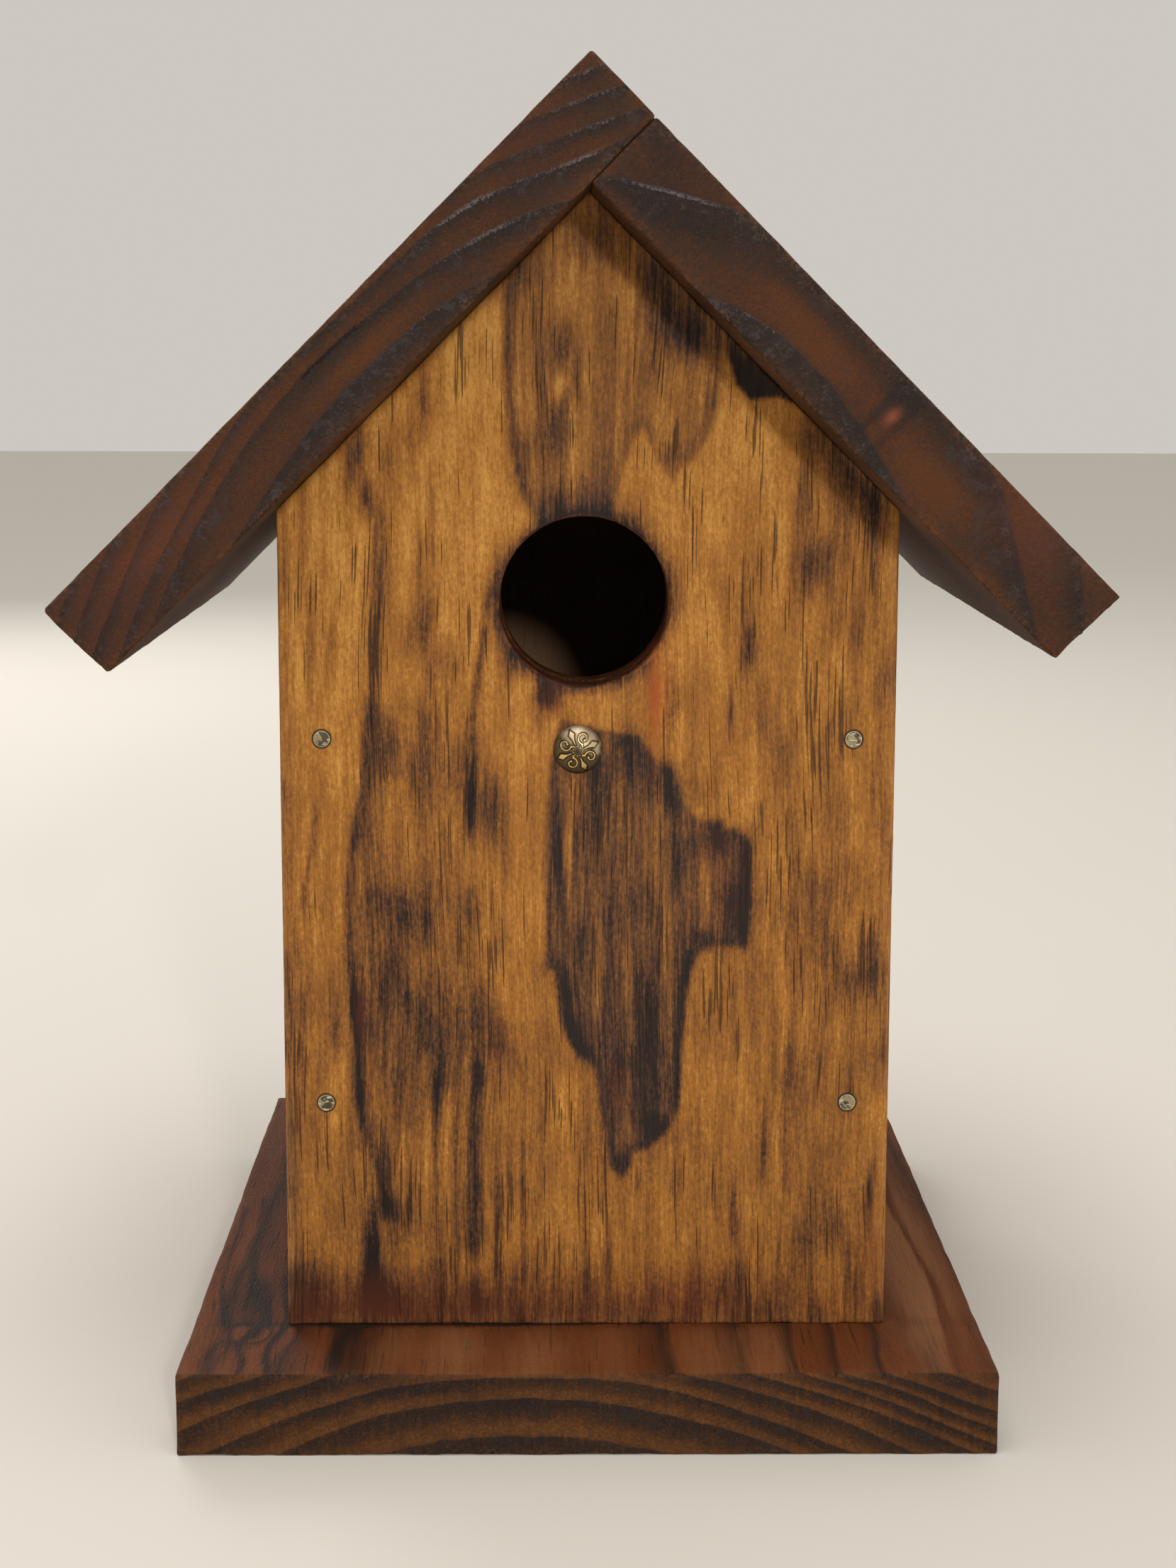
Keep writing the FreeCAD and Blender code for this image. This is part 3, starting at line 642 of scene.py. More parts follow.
honeySettings = {
    "stops": [(0.0, tint(32, 22, 18)), (0.12, tint(52, 34, 25)), (0.32, tint(90, 57, 32)),
              (0.54, tint(127, 81, 36)), (0.76, tint(161, 106, 43)), (1.0, tint(200, 146, 70))],
    "redder": tint(152, 70, 28), "smoke": tint(66, 58, 58), "pore": tint(40, 26, 19),
    "edge": tint(168, 120, 76), "inside": tint(118, 90, 66), "specular": 0.18, "bump": 0.00014,
    "layers": {
        "where": ((0.09, 0.035, 0.09), (9, 2, 7), 2, 0.5), "specks": ((1.5, 0.7, 1.5), (1, 1, 1), 3, 0.75),
        "flame": ((0.11, 0.07, 0.11), (4, 8, 2), 3, 0.5), "clouds": ((0.16, 0.05, 0.16), (1, 6, 3), 2, 0.5),
        "lathe": ((0.05, 0.05, 1.1), (2, 6, 2), 3, 0.7)},
    "contrast": {  # of each layer in plain wood, and how much more of it where the wood is dark
        "broad": (0.28, 0.8), "streak": (0.22, 1.3), "fine": (0.24, 0.9), "flame": (0.30, 0.55),
        "clouds": (0.42, 0.0), "specks": (0.62, 0.7)},
    "plainTone": 0.80, "darkest": 0.36, "burntContrast": 0.5, "wallContrast": 1.8, "rimDark": 0.10,
    "burntEdge": (-0.5, 0.5), "rimStart": (-0.8, 0.3), "rimEnd": (1.0, 3.5), "poreEdge": (0.68, 0.74),
    "wornEdge": (0.75, 1.15), "nailRing": (2.05, 2.55)}


def honeyPine(name):
    # the colour ramp reads a shade: the painted tone, plus each layer about its middle times its contrast
    shader, honey = Shader(name), honeySettings
    grain = shader.attribute("grain", 1)
    tone, char, red = shader.attribute("tone"), shader.attribute("char"), shader.attribute("red")
    nailed = shader.attribute("nailed", 1)
    toNail = shader.node("ShaderNodeVectorMath", {"operation": "LENGTH"}, {0: nailed}, 1)
    layers = woodGrain(shader, grain, honey["layers"])
    broad, streak, fine, specks = layers["broad"], layers["streak"], layers["fine"], layers["specks"]
    dark = shader.maths("MINIMUM", shader.maths("MAXIMUM", honey["plainTone"] - tone, 0.0), honey["darkest"])
    ragged = char + (streak - 0.5) * 4.5 + (fine - 0.5) * 3.0  # fibres carry the burn past its outline
    burnt = shader.step(ragged, *honey["burntEdge"])
    rim = shader.step(ragged, *honey["rimStart"]) * (1 - shader.step(ragged, *honey["rimEnd"]))
    shade = tone
    for layer, (plain, inDark) in honey["contrast"].items():
        shade = shade + (layers[layer] - 0.5) * (dark * inDark + plain)
    shade = shade - rim * honey["rimDark"] + burnt * (broad - 0.5) * honey["burntContrast"]
    shade = shade + shader.attribute("wall") * (layers["lathe"] - 0.5) * honey["wallContrast"]
    colour = shader.node("ShaderNodeValToRGB", {"stops": honey["stops"]}, {"Fac": shade})
    colour = shader.mix(burnt * 0.14, colour, honey["smoke"])
    colour = shader.mix(red * 0.6, colour, honey["redder"])
    pores = shader.step(layers["hairs"] + (layers["where"] - 0.5) * 0.8, *honey["poreEdge"])
    colour = shader.mix(pores * 0.72, colour, honey["pore"])
    worn = shader.attribute("worn") * shader.step(streak + fine, *honey["wornEdge"])
    colour = shader.mix(worn * 0.5, colour, honey["edge"])
    colour = shader.mix((1 - shader.step(toNail, *honey["nailRing"])) * 0.95, colour, honey["pore"])
    colour = shader.mix(shader.attribute("inner") * 0.88, colour, honey["inside"])
    relief = (fine - 0.5) * 0.5 + (streak - 0.5) * 0.4 - pores * 0.8 + (specks - 0.5) * 0.3
    rough = 0.62 - (fine - 0.5) * 0.2 + burnt * 0.05
    return shader.finish(Base_Color=colour, Roughness=rough, Normal=shader.bump(relief, honey["bump"]),
                         Specular_IOR_Level=honey["specular"])


darkSettings = {
    "late": tint(36, 29, 27), "red": tint(150, 80, 62), "faceLate": tint(44, 31, 26),
    "edge": tint(120, 76, 46), "paintedSheen": tint(122, 114, 116), "pit": tint(16, 12, 12), "bump": 0.0003,
    "layers": {
        "where": ((0.09, 0.035, 0.09), (9, 2, 7), 2, 0.5), "ripple": ((0.20, 0.03, 0.20), (3, 3, 8), 3, 0.5),
        "dust": ((1.5, 0.6, 1.5), (6, 1, 4), 3, 0.75), "mottle": ((0.36, 0.12, 0.36), (8, 3, 2), 3, 0.6),
        "rays": ((1.3, 0.6, 0.12), (6, 4, 1), 2, 0.5), "blotch": ((0.06, 0.035, 0.14), (2, 7, 5), 3, 0.5)},
    "contrast": {"blotch": 1.0, "rays": 0.6, "dust": 2.5, "mottle": 0.8},
    "lateEdge": (0.30, 1.0), "filmEdge": (0.84, 1.02), "poreEdge": (0.66, 0.73), "stainedAndShadedEdge": (0.05, 0.9),
    "dryEdge": (0.1, 1.0), "wornEdge": (0.85, 1.2), "crestWidth": (0.2, 0.6), "crestReach": (0.9, 1.3),
    "raisedSheenEdge": (0.56, 0.80), "pittedEdge": (0.58, 0.72)}


def darkPine(name, finish):
    # the end grain's shade rises through each ring from early to late wood; the faces along the grain have
    # their own colours, with the late wood as thin dark lines; crests on the end grain have a painted sheen
    # or are pitted
    shader, dark = Shader(name), darkSettings
    grain = shader.attribute("grain", 1)
    rings, tone, red = shader.attribute("rings"), shader.attribute("tone"), shader.attribute("red")
    glint, gap, stain = shader.attribute("glint"), shader.attribute("gap"), shader.attribute("stain")
    worn, end = shader.attribute("worn"), shader.attribute("end")
    layers = woodGrain(shader, grain, dark["layers"])
    broad, streak, fine, dust = layers["broad"], layers["streak"], layers["fine"], layers["dust"]
    number = rings + (layers["ripple"] - 0.5) * finish["waver"] + (dust - 0.5) * finish["waver"] * 0.3
    part = shader.maths("FRACT", number)
    late = shader.node("ShaderNodeValToRGB", {"stops": finish["profile"]}, {"Fac": part})
    level = shader.node("ShaderNodeSeparateColor", {}, {0: late})
    shade = level * finish["contrast"] - tone * 0.8
    for layer, contrast in dark["contrast"].items():
        shade = shade + (layers[layer] - 0.5) * contrast
    colour = shader.mix(shader.step(shade, *finish["fade"]), finish["glow"], finish["early"])
    colour = shader.mix(shader.step(shade, *dark["lateEdge"]), colour, dark["late"])
    colour = shader.mix(shader.step(dust, 0.52, 0.62) * 0.25, colour, finish["early"])
    film = shader.step(layers["mottle"] * 0.7 + layers["blotch"] * 0.4 + dust * 0.6, *dark["filmEdge"])
    colour = shader.mix(film * (0.1 + level * 0.9) * finish["film"], colour, finish["grey"])
    colour = shader.mix(shader.step(dust, 0.60, 0.72) * 0.35, colour, dark["edge"])
    colour = shader.mix(red, colour, dark["red"])
    along = shader.mix((level ** 6.0) * 0.95, finish["face"], dark["faceLate"])
    deep = (streak - 0.3) * 1.1 + (broad - 0.5) * 1.4 + (dust - 0.5) * 1.2
    along = shader.mix(deep, along, finish["faceDeep"])
    pores = shader.step(layers["hairs"] + (layers["where"] - 0.5) * 0.4, *dark["poreEdge"])
    along = shader.mix(pores * 0.6, along, dark["late"])
    # the faces darken where the wood is stained, where dark threads run and, on the base's top, under the
    # painted shadow of the front panel
    stainedAndShaded = shader.step(stain + (streak - 0.5) * 0.5 + (broad - 0.5) * 0.4, *dark["stainedAndShadedEdge"])
    along = shader.mix(stainedAndShaded, along, dark["faceLate"])
    dry = shader.step(0 - stain + (streak - 0.5) * 0.5, *dark["dryEdge"])
    along = shader.mix(dry * 0.8, along, finish["dry"])
    colour = shader.mix(1 - end, colour, along)
    colour = shader.mix(worn * shader.step(streak + dust, *dark["wornEdge"]) * 0.5, colour, dark["edge"])
    beside = shader.maths("ABSOLUTE", gap + (dust - 0.5) * 1.6)
    crest = 1 - shader.step(beside, *dark["crestWidth"])
    crest = crest * (1 - shader.step(shader.attribute("near"), *dark["crestReach"])) * end
    # painted sheen: raised crests of the end grain turn a light grey where their gloss would catch the light
    raised = crest * shader.step(glint * 0.3 + dust, *dark["raisedSheenEdge"])
    colour = shader.mix(raised * 0.48, colour, dark["paintedSheen"])
    pitted = crest * shader.step(dust - glint * 0.8, *dark["pittedEdge"])
    colour = shader.mix(pitted * 0.8, colour, dark["pit"])
    relief = level * 0.8 * end + (dust - 0.5) * 1.2 + (fine - 0.5) * 0.4 - pores * 0.3 + raised * 0.8
    rough = 0.66 - level * 0.12 * end + (dust - 0.5) * 0.3 - raised * 0.3
    return shader.finish(Base_Color=colour, Roughness=rough, Normal=shader.bump(relief, dark["bump"]),
                         Specular_IOR_Level=finish["specular"])


baseFinish = {
    "early": tint(72, 46, 28), "glow": tint(104, 66, 36), "grey": tint(54, 46, 43), "film": 0.5,
    "waver": 0.14, "fade": (-0.7, 0.45), "contrast": 0.95,
    "face": tint(106, 57, 28), "faceDeep": tint(76, 42, 24), "dry": tint(152, 104, 68), "specular": 0.08,
    "profile": [(0.0, (0.5,) * 3), (0.05, (0.1,) * 3), (0.12, (0.0,) * 3), (0.34, (0.14,) * 3),
                (0.56, (0.72,) * 3), (0.9, (1.0,) * 3), (1.0, (0.85,) * 3)]}
roofFinish = {
    "early": tint(52, 35, 26), "glow": tint(83, 47, 24), "grey": tint(64, 57, 58), "film": 0.8, "waver": 0.09,
    "fade": (-0.85, 0.62), "contrast": 1.15,
    "face": tint(76, 48, 31), "faceDeep": tint(52, 35, 26), "dry": tint(112, 76, 50), "specular": 0.15,
    "profile": [(0.0, (0.5,) * 3), (0.03, (0.2,) * 3), (0.08, (0.0,) * 3), (0.45, (0.10,) * 3),
                (0.72, (0.55,) * 3), (0.93, (0.85,) * 3), (1.0, (0.8,) * 3)]}


# Boards: a block in its own axes (across, along the grain, through), eased, warped into its outline, placed

boardSettings = {
    "edgeLines": 0.9, "easeRange": (0.3, 2.0), "easeWander": 22.0, "easeNick": 0.25, "nickSize": 5.0,
    "wearReach": 1.5, "endReach": 0.7, "wearWander": 14.0, "grainShift": (31.0, 57.0, 13.0), "noNail": 99.0}


def boardWear(points, low, high):
    # how near an edge of the block a surface point is, and how much it looks along the grain
    gap = np.sort(np.minimum(points - low, high - points), axis=1)
    near = np.exp(-gap[:, 1] / boardSettings["wearReach"])
    ends = np.minimum(points[:, 1] - low[1], high[1] - points[:, 1])
    return near, np.clip(1 - ends / boardSettings["endReach"], 0, 1)


def smoothRise(value):
    value = np.clip(value, 0, 1)
    return value * value * (3 - 2 * value)


def fromBlock(i, j, block):
    # lattice numbers as parts of the square gap: -1 and 1 are its sides
    left, right, bottom, top = block
    return (2 * i - left - right) / (right - left), (2 * j - bottom - top) / (top - bottom)


def openRound(points, i, j, block, hole, reach=2.3):
    # rings of cells round a square gap become rings round a circle, and fade back into the plain lattice
    left, right = block[:2]
    a, b = fromBlock(i, j, block)
    c = np.maximum(np.abs(a), np.abs(b))
    ring = (c - 1) * (right - left) / 2
    cell = 2 * hole["radius"] / (right - left)
    out = hole["radius"] + np.interp(ring, [0, 1, 2, 4, 60], [0, 0.3, 0.8, 4 * cell, 60 * cell])
    turn = np.hypot(a, b)
    turn[turn == 0] = 1
    share = 1 - smoothRise((c - 1) / (reach - 1))
    points = points.copy()
    for axis, part in ((0, a), (1, b)):
        points[:, axis] += share * (hole["middle"][axis] + out * part / turn - points[:, axis])
    return points, np.where(c <= reach, out - hole["radius"], 1e9)


def easeRim(points, distance, hole, thick):
    # round the hole the corner between wall and face is eased in the plane of (distance from rim, depth)
    ease = hole["ease"] * (1 + 0.3 * wander(points, 12.0, 71))
    core = np.stack([np.maximum(distance, ease), np.clip(points[:, 2], ease, thick - ease)], axis=1)
    away = np.stack([distance, points[:, 2]], axis=1) - core
    size = np.linalg.norm(away, axis=1)
    near = (distance < 5) & (size > 0)
    away[near] *= (ease[near] / size[near])[:, None]
    outward = points[:, :2] - np.array(hole["middle"])
    outward /= np.maximum(np.linalg.norm(outward, axis=1, keepdims=True), 1e-9)
    moved = points.copy()
    shift = (core + away)[:, 0] - distance
    moved[near, :2] += (outward * shift[:, None])[near]
    moved[near, 2] = (core + away)[near, 1]
    return moved


def carveRim(eased, points, distance, hole, top):
    # grooves that the cutter left in the hole's wall: each pushes the wall outwards at its own depth
    cuts = sum(np.exp(-((points[:, 2] - top + depth) / hole["cutWidth"]) ** 2) for depth in hole["cuts"])
    groove = hole["groove"] * cuts * (distance < 0.1) * (1 + 0.6 * wander(points, 14.0, 79))
    carved = eased.copy()
    carved[:, :2] += (eased[:, :2] - np.array(hole["middle"])) * (groove / hole["radius"])[:, None]
    return carved


def scorchRim(eased, distance, hole, top, attributes):
    # a dark halo on the face, which fades with distance, and turned lines down the hole's wall
    scorch = 1 + 0.5 * wander(eased, 11.0, 77)
    side = 1 + 0.7 * dab(eased[:, 0], eased[:, 1], *hole["scorched"])
    halo = np.exp(-np.clip(distance, 0, 90) / (hole["haloReach"] * side * scorch.clip(0.5)))
    depth = top - eased[:, 2]
    wall = distance < 0.4
    turns = 0.5 + 0.5 * np.sin(depth * 2.9 + 1.5 * wander(eased, 16.0, 80))
    worked = 0.08 + 0.42 * turns * np.exp(-depth / 9) * (1 - np.exp(-depth / 1.1))
    worked += 0.14 * wander(eased * (1, 1, 3), 2.4, 78)
    tone = np.where(wall, worked, attributes["tone"] - hole["haloDark"] * halo)
    red = attributes["red"] + 0.15 * wall
    return {**attributes, "tone": tone, "red": red, "wall": np.where(wall, 1.0, 0.0)}


def makeBoard(name, node, board, material, paint):
    # a lattice block: its outer points move onto eased edges, the whole is warped into the board's outline,
    # a hole is opened and carved, and the faces ripple along the grain; then the paint gives its attributes
    rule, seed = boardSettings, board["seed"]
    low, high = np.array(board["low"], float), np.array(board["high"], float)
    fixed = board.get("fixed", ((), (), ()))
    lines = [spaced(low[axis], high[axis], board["steps"][axis], rule["edgeLines"], fixed[axis])
             for axis in range(3)]
    block = None
    hole = board.get("hole")
    if hole:
        half = hole["radius"] * hole["squareGap"]
        block = [int(np.searchsorted(lines[axis], hole["middle"][axis] + side * half))
                 for axis in (0, 1) for side in (-1, 1)]
        block[3] = block[2] + block[1] - block[0]
    i, j, k, quads = blockFaces(*(len(line) - 1 for line in lines), block)
    points = np.stack([lines[0][i], lines[1][j], lines[2][k]], axis=1)
    near, end = boardWear(points, low, high)
    radius = board["ease"] * (1 + board["wear"] * wander(points * (1, 0.4, 1), rule["easeWander"], seed))
    nicks = rule["easeNick"] * wander(points * (1, 0.5, 1), rule["nickSize"], seed + 9)
    radius = np.clip(radius + nicks, *rule["easeRange"])
    outer = np.min(np.minimum(points - low, high - points), axis=1) < 1e-6
    if hole:
        a, b = fromBlock(i, j, block)
        outer &= np.maximum(np.abs(a), np.abs(b)) > 1 + 1e-6
    eased = points.copy()
    eased[outer] = easeEdges(points[outer], low, high, radius[outer])
    if "warp" in board:
        eased = board["warp"](eased)
    if hole:
        eased, distance = openRound(eased, i, j, block, hole)
        eased = easeRim(eased, distance, hole, high[2])
        eased = carveRim(eased, points, distance, hole, high[2])
        near = near * (distance > 3)
    rough = wander(eased * (1, 0.25, 1), 9.0, seed + 3) + 0.6 * wander(eased * (1, 0.15, 1), 3.1, seed + 4)
    below = np.where(points[:, 2] > (low[2] + high[2]) / 2, 1, -board.get("under", 1))
    eased[:, 2] += board["ripple"] * rough * below * (1 - end)
    if "sawn" in board:
        torn = np.clip(1 - (high[0] - points[:, 0]) / 1.0, 0, 1) * (1 - end)
        fibres = 0.5 + 0.5 * wander(eased * (1, 0.5, 1.5), 1.9, seed + 6, 12)
        eased[:, 0] -= board["sawn"] * torn * fibres
    attributes = paint(*eased.T)
    if hole:
        attributes = scorchRim(eased, distance, hole, high[2], attributes)
    attributes["nailed"] = np.full((len(eased), 3), rule["noNail"])
    if "nails" in board:
        reach = eased[:, None, :2] - np.array(board["nails"])[None]
        nearest = reach[np.arange(len(eased)), np.argmin(np.linalg.norm(reach, axis=2), axis=1)]
        attributes["nailed"] = np.column_stack([nearest, eased[:, 2] - high[2]])
    attributes["worn"] = near * np.clip(0.75 + 0.5 * wander(eased, rule["wearWander"], seed + 2), 0, 1)
    attributes["end"] = end
    attributes["grain"] = eased + np.array(rule["grainShift"]) * seed
    piece = addMesh(name, eased, quads, (board["origin"], board["axes"]), attributes, material)
    standIn(piece, node)


def gableWarp(tall):
    # heights shrink in proportion to the distance from the middle line, which makes 45 degree slopes
    def warp(points):
        points = points.copy()
        points[:, 1] *= (tall - np.abs(points[:, 0])) / tall
        return points
    return warp


def bevelWarp(tall):
    # the top falls one for one through the thickness, to meet the roof
    def warp(points):
        points = points.copy()
        points[:, 1] *= (tall - points[:, 2]) / tall
        return points
    return warp


panelBoard = {"ease": 0.85, "wear": 0.35, "ripple": 0.035, "slot": "honey_pine", "steps": (2.0, 2.0, 3.2)}
entranceHole = {  # height is from the ground; cuts are depths of grooves in the wall
    "across": -0.9, "height": 189.0, "radius": 19.05, "ease": 0.8, "squareGap": 0.80, "groove": 0.6,
    "cuts": (2.6, 5.2, 9.0), "cutWidth": 0.55, "haloReach": 1.5, "haloDark": 0.80,
    "scorched": (16, 185, 12, 12)}


def makePanels():
    frontLow, frontHigh = nodeBox("front_panel")
    backLow = nodeBox("back_panel")[0]
    leftLow, leftHigh = nodeBox("left_side")
    rightLow = nodeBox("right_side")[0]
    tall = frontHigh[2] - frontLow[2]
    half = (frontHigh[0] - frontLow[0]) / 2
    thick = frontHigh[1] - frontLow[1]
    foot = frontLow[2]
    panel = {**panelBoard, "low": (-half, 0, 0), "high": (half, tall, thick), "warp": gableWarp(tall),
             "fixed": ((0.0,), (), ())}
    nails = []
    for number in range(1, 5):
        nailLow, nailHigh = nodeBox(f"front_nail_{number}")
        nails.append(((nailLow[0] + nailHigh[0]) / 2, (nailLow[2] + nailHigh[2]) / 2 - foot))
    hole = {**entranceHole, "middle": (entranceHole["across"], entranceHole["height"] - foot)}
    front = {**panel, "origin": (0, frontHigh[1], foot), "axes": ((1, 0, 0), (0, 0, 1), (0, -1, 0)),
             "nails": nails, "hole": hole, "steps": (1.0, 1.05, 0.75), "seed": 3}
    back = {**panel, "origin": (0, backLow[1], foot), "axes": ((-1, 0, 0), (0, 0, 1), (0, 1, 0)), "seed": 4}
    makeBoard("frontBoard", "front_panel", front, honeyPine("frontPine"),
              lambda u, v, w: paintFront(u, v + foot))
    makeBoard("backBoard", "back_panel", back, honeyPine("backPine"),
              lambda u, v, w: paintPlain(21)(u, v + foot, w))
    sideTall = leftHigh[2] - leftLow[2]
    side = {**panelBoard, "low": (0, 0, 0), "warp": bevelWarp(sideTall),
            "high": (leftHigh[1] - leftLow[1], sideTall, leftHigh[0] - leftLow[0])}
    left = {**side, "origin": (leftHigh[0], leftHigh[1], foot), "axes": ((0, -1, 0), (0, 0, 1), (-1, 0, 0)),
            "seed": 5}
    right = {**side, "origin": (rightLow[0], rightLow[1], foot), "axes": ((0, 1, 0), (0, 0, 1), (1, 0, 0)),
             "seed": 6}
    sidePine = honeyPine("sidePine")
    makeBoard("leftBoard", "left_side", left, sidePine, lambda u, v, w: paintPlain(31)(u, v + foot, w))
    makeBoard("rightBoard", "right_side", right, sidePine, lambda u, v, w: paintPlain(43)(u, v + foot, w))


darkBoard = {"ease": 0.7, "wear": 0.5, "ripple": 0.04, "slot": "dark_pine"}


def makeRoofAndBase():
    baseLow, baseHigh = nodeBox("base_board")
    leftLow, leftHigh = nodeBox("roof_left")
    rightLow = nodeBox("roof_right")[0]
    thick = baseHigh[2] - baseLow[2]
    slant = slopeCos
    apex = leftHigh[2] - 2 * thick * slant  # the line where the two undersides meet
    long = leftHigh[1] - leftLow[1]
    leftReach = (apex - leftLow[2]) / slant
    rightReach = (apex - rightLow[2]) / slant
    base = {**darkBoard, "origin": (0, 0, 0), "axes": ((1, 0, 0), (0, 1, 0), (0, 0, 1)), "low": baseLow,
            "high": baseHigh, "steps": (0.9, 2.8, 0.8), "seed": 7, "under": 0}
    roof = {**darkBoard, "steps": (0.8, 2.8, 0.8)}
    right = {**roof, "origin": (0, rightLow[1], apex), "low": (0, 0, 0), "high": (rightReach, long, thick),
             "axes": ((slant, 0, -slant), (0, 1, 0), (slant, 0, slant)), "seed": 8, "sawn": 0.7}
    left = {**roof, "origin": (0, leftHigh[1], apex), "low": (-thick, 0, 0), "high": (leftReach, long, thick),
            "axes": ((-slant, 0, -slant), (0, -1, 0), (-slant, 0, slant)), "seed": 9, "sawn": 0.5}
    basePaint = paintRings({**baseRings, "front": baseLow[1]})
    rightPaint = paintRings({**roofRightRings, "front": 0.0})
    leftPaint = paintRings({**roofLeftRings, "front": long})
    makeBoard("baseBoard", "base_board", base, darkPine("basePine", baseFinish), basePaint)
    makeBoard("roofRight", "roof_right", right, darkPine("roofRightPine", roofFinish), rightPaint)
    makeBoard("roofLeft", "roof_left", left, darkPine("roofLeftPine", roofFinish), leftPaint)


# Nails: a profile turned round the nail's own axis, its head dressed flat by a few hammer blows

nailSettings = {
    "head": 2.0, "shank": 1.25, "thick": 1.2, "taper": 1.0, "length": 50.8, "point": 5.0, "around": 40,
    "headRings": (0.14, 0.28, 0.42, 0.56, 0.68, 0.76, 0.82, 0.87, 0.91, 0.95, 0.985), "blows": 3,
    "lean": (0.05, 0.12), "dent": (-0.05, 0.02), "lowest": -0.16, "grain": 0.015, "grainSize": 0.9}


def ringPoints(profile, around):
    # a ring of points round the third axis for each (radius, height) of the profile
    angle = np.arange(around) * 2 * math.pi / around
    profile = np.array(profile, float)
    heights = np.broadcast_to(profile[:, 1:], (len(profile), around))
    return np.stack([profile[:, :1] * np.cos(angle), profile[:, :1] * np.sin(angle), heights], axis=2)


def closedGrid(rings, topPole, lowPole):
    # points and faces of rings one below the other, closed with a fan to a pole at each end
    count, around = rings.shape[:2]
    points = np.concatenate([rings.reshape(-1, 3), [(0, 0, topPole), (0, 0, lowPole)]])
    number = np.arange(count * around).reshape(count, around)
    ahead = np.roll(number, -1, axis=1)
    quads = np.stack([number[:-1], number[1:], ahead[1:], ahead[:-1]], axis=2).reshape(-1, 4)
    first, last = np.full(around, len(points) - 2), np.full(around, len(points) - 1)
    caps = np.concatenate([np.stack([first, number[0], ahead[0]], axis=1),
                           np.stack([last, ahead[-1], number[-1]], axis=1)])
    return points, quads.tolist() + caps.tolist()


def makeNail(name, axis, material, seed):
    # a turned profile whose flat top is the lowest of a shallow dome and three tilted planes, one for each
    # blow; axis points from the tip to the head, and the head's middle comes from the node's box
    nail = nailSettings
    low, high = nodeBox(name)
    axis = np.array(axis, float)
    rim = nail["head"] * np.sqrt(1 - axis ** 2)
    head = np.where(axis > 0.01, high - rim, np.where(axis < -0.01, low + rim, (low + high) / 2))
    radius, shank = nail["head"], nail["shank"]
    neck = -nail["thick"] - nail["taper"]
    rows = [(radius * part, 0.0) for part in nail["headRings"]]
    rows += [(radius, -0.12), (radius, -0.6), (radius, -nail["thick"]), (shank, neck), (shank, -30.0),
             (shank, nail["point"] - nail["length"])]
    points, faces = closedGrid(ringPoints(rows, nail["around"]), 0, -nail["length"])
    random = np.random.default_rng(seed)
    flat = points[:, 2] > -0.05
    away = np.hypot(points[:, 0], points[:, 1]) / radius
    level = -0.02 - 0.10 * away ** 6
    facet = np.zeros(len(points))
    for blow in range(nail["blows"]):
        lean, way = random.uniform(*nail["lean"]), random.uniform(0, 2 * math.pi)
        tilt = points[:, 0] * math.cos(way) + points[:, 1] * math.sin(way)
        plane = random.uniform(*nail["dent"]) + lean * tilt
        facet = np.where(plane < level, random.uniform(0.2, 1.0), facet)
        level = np.minimum(level, plane)
    level += nail["grain"] * wander(points, nail["grainSize"], seed)
    points[:, 2] = np.where(flat, np.maximum(level, nail["lowest"]), points[:, 2])
    side = np.cross(axis, (0, 1, 0) if abs(axis[1]) < 0.5 else (1, 0, 0))
    side /= np.linalg.norm(side)
    place = (head, (side, np.cross(axis, side), axis))
    piece = addMesh(name + "_made", points, faces, place, {"rim": away, "facet": facet}, material)
    standIn(piece, name)


steelSettings = {
    "bright": tint(146, 134, 104), "struck": tint(74, 65, 48), "scuff": tint(226, 216, 186),
    "pit": tint(84, 72, 52), "paintedRimHighlight": tint(198, 188, 156), "edge": tint(30, 23, 20),
    "layers": {"blotch": ((1.1, 1.1, 1.1), (2, 5, 1), 3), "grit": ((5, 5, 5), (4, 1, 9), 2),
               "scuff": ((0.5, 0.5, 2.2), (9, 2, 4), 3)}}


def nailSteel():
    shader, steel = Shader("nailSteel"), steelSettings
    layers = shader.layers(shader.millimetres(), steel["layers"])
    blotch, grit, rim = layers["blotch"], layers["grit"], shader.attribute("rim")
    struck = shader.step(shader.attribute("facet") + (blotch - 0.5) * 2.4, 0.30, 0.55)
    colour = shader.mix(struck, steel["bright"], steel["struck"])
    colour = shader.mix(shader.step(layers["scuff"], 0.57, 0.63) * 0.7, colour, steel["scuff"])
    colour = shader.mix(shader.step(grit, 0.56, 0.66) * 0.6, colour, steel["pit"])
    # painted highlight: a lighter ring just inside the head's edge, where the rounded rim catches the light
    paintedRimHighlight = shader.step(rim, 0.80, 0.88) * (1 - shader.step(rim, 0.92, 0.97))
    colour = shader.mix(paintedRimHighlight * 0.5, colour, steel["paintedRimHighlight"])
    colour = shader.mix(shader.step(rim, 0.92, 0.98) * 0.95, colour, steel["edge"])
    return shader.finish(Base_Color=colour, Metallic=0.6, Roughness=0.36 + grit * 0.3,
                         Normal=shader.bump(blotch + grit * 0.4, 0.00006))


def makeNails():
    steel = nailSteel()
    leftward, rightward = (-slopeCos, 0, slopeCos), (slopeCos, 0, slopeCos)
    axes = {"front": (0, -1, 0), "back": (0, 1, 0), "roof_left": leftward, "roof_right": rightward}
    seed = 100
    for group, axis in axes.items():
        for number in range(1, 5):
            seed += 1
            makeNail(f"{group}_nail_{number}", axis, steel, seed)
    for number in range(1, 4):
        makeNail(f"ridge_nail_{number}", leftward, steel, seed + number)


zincSettings = {
    "bright": tint(206, 200, 180), "grey": tint(150, 148, 140), "pit": tint(104, 92, 74),
    "layers": {"spangle": ((0.9, 0.9, 0.9), (2, 2, 7), 3), "grit": ((4, 4, 4), (7, 1, 2), 2)}}


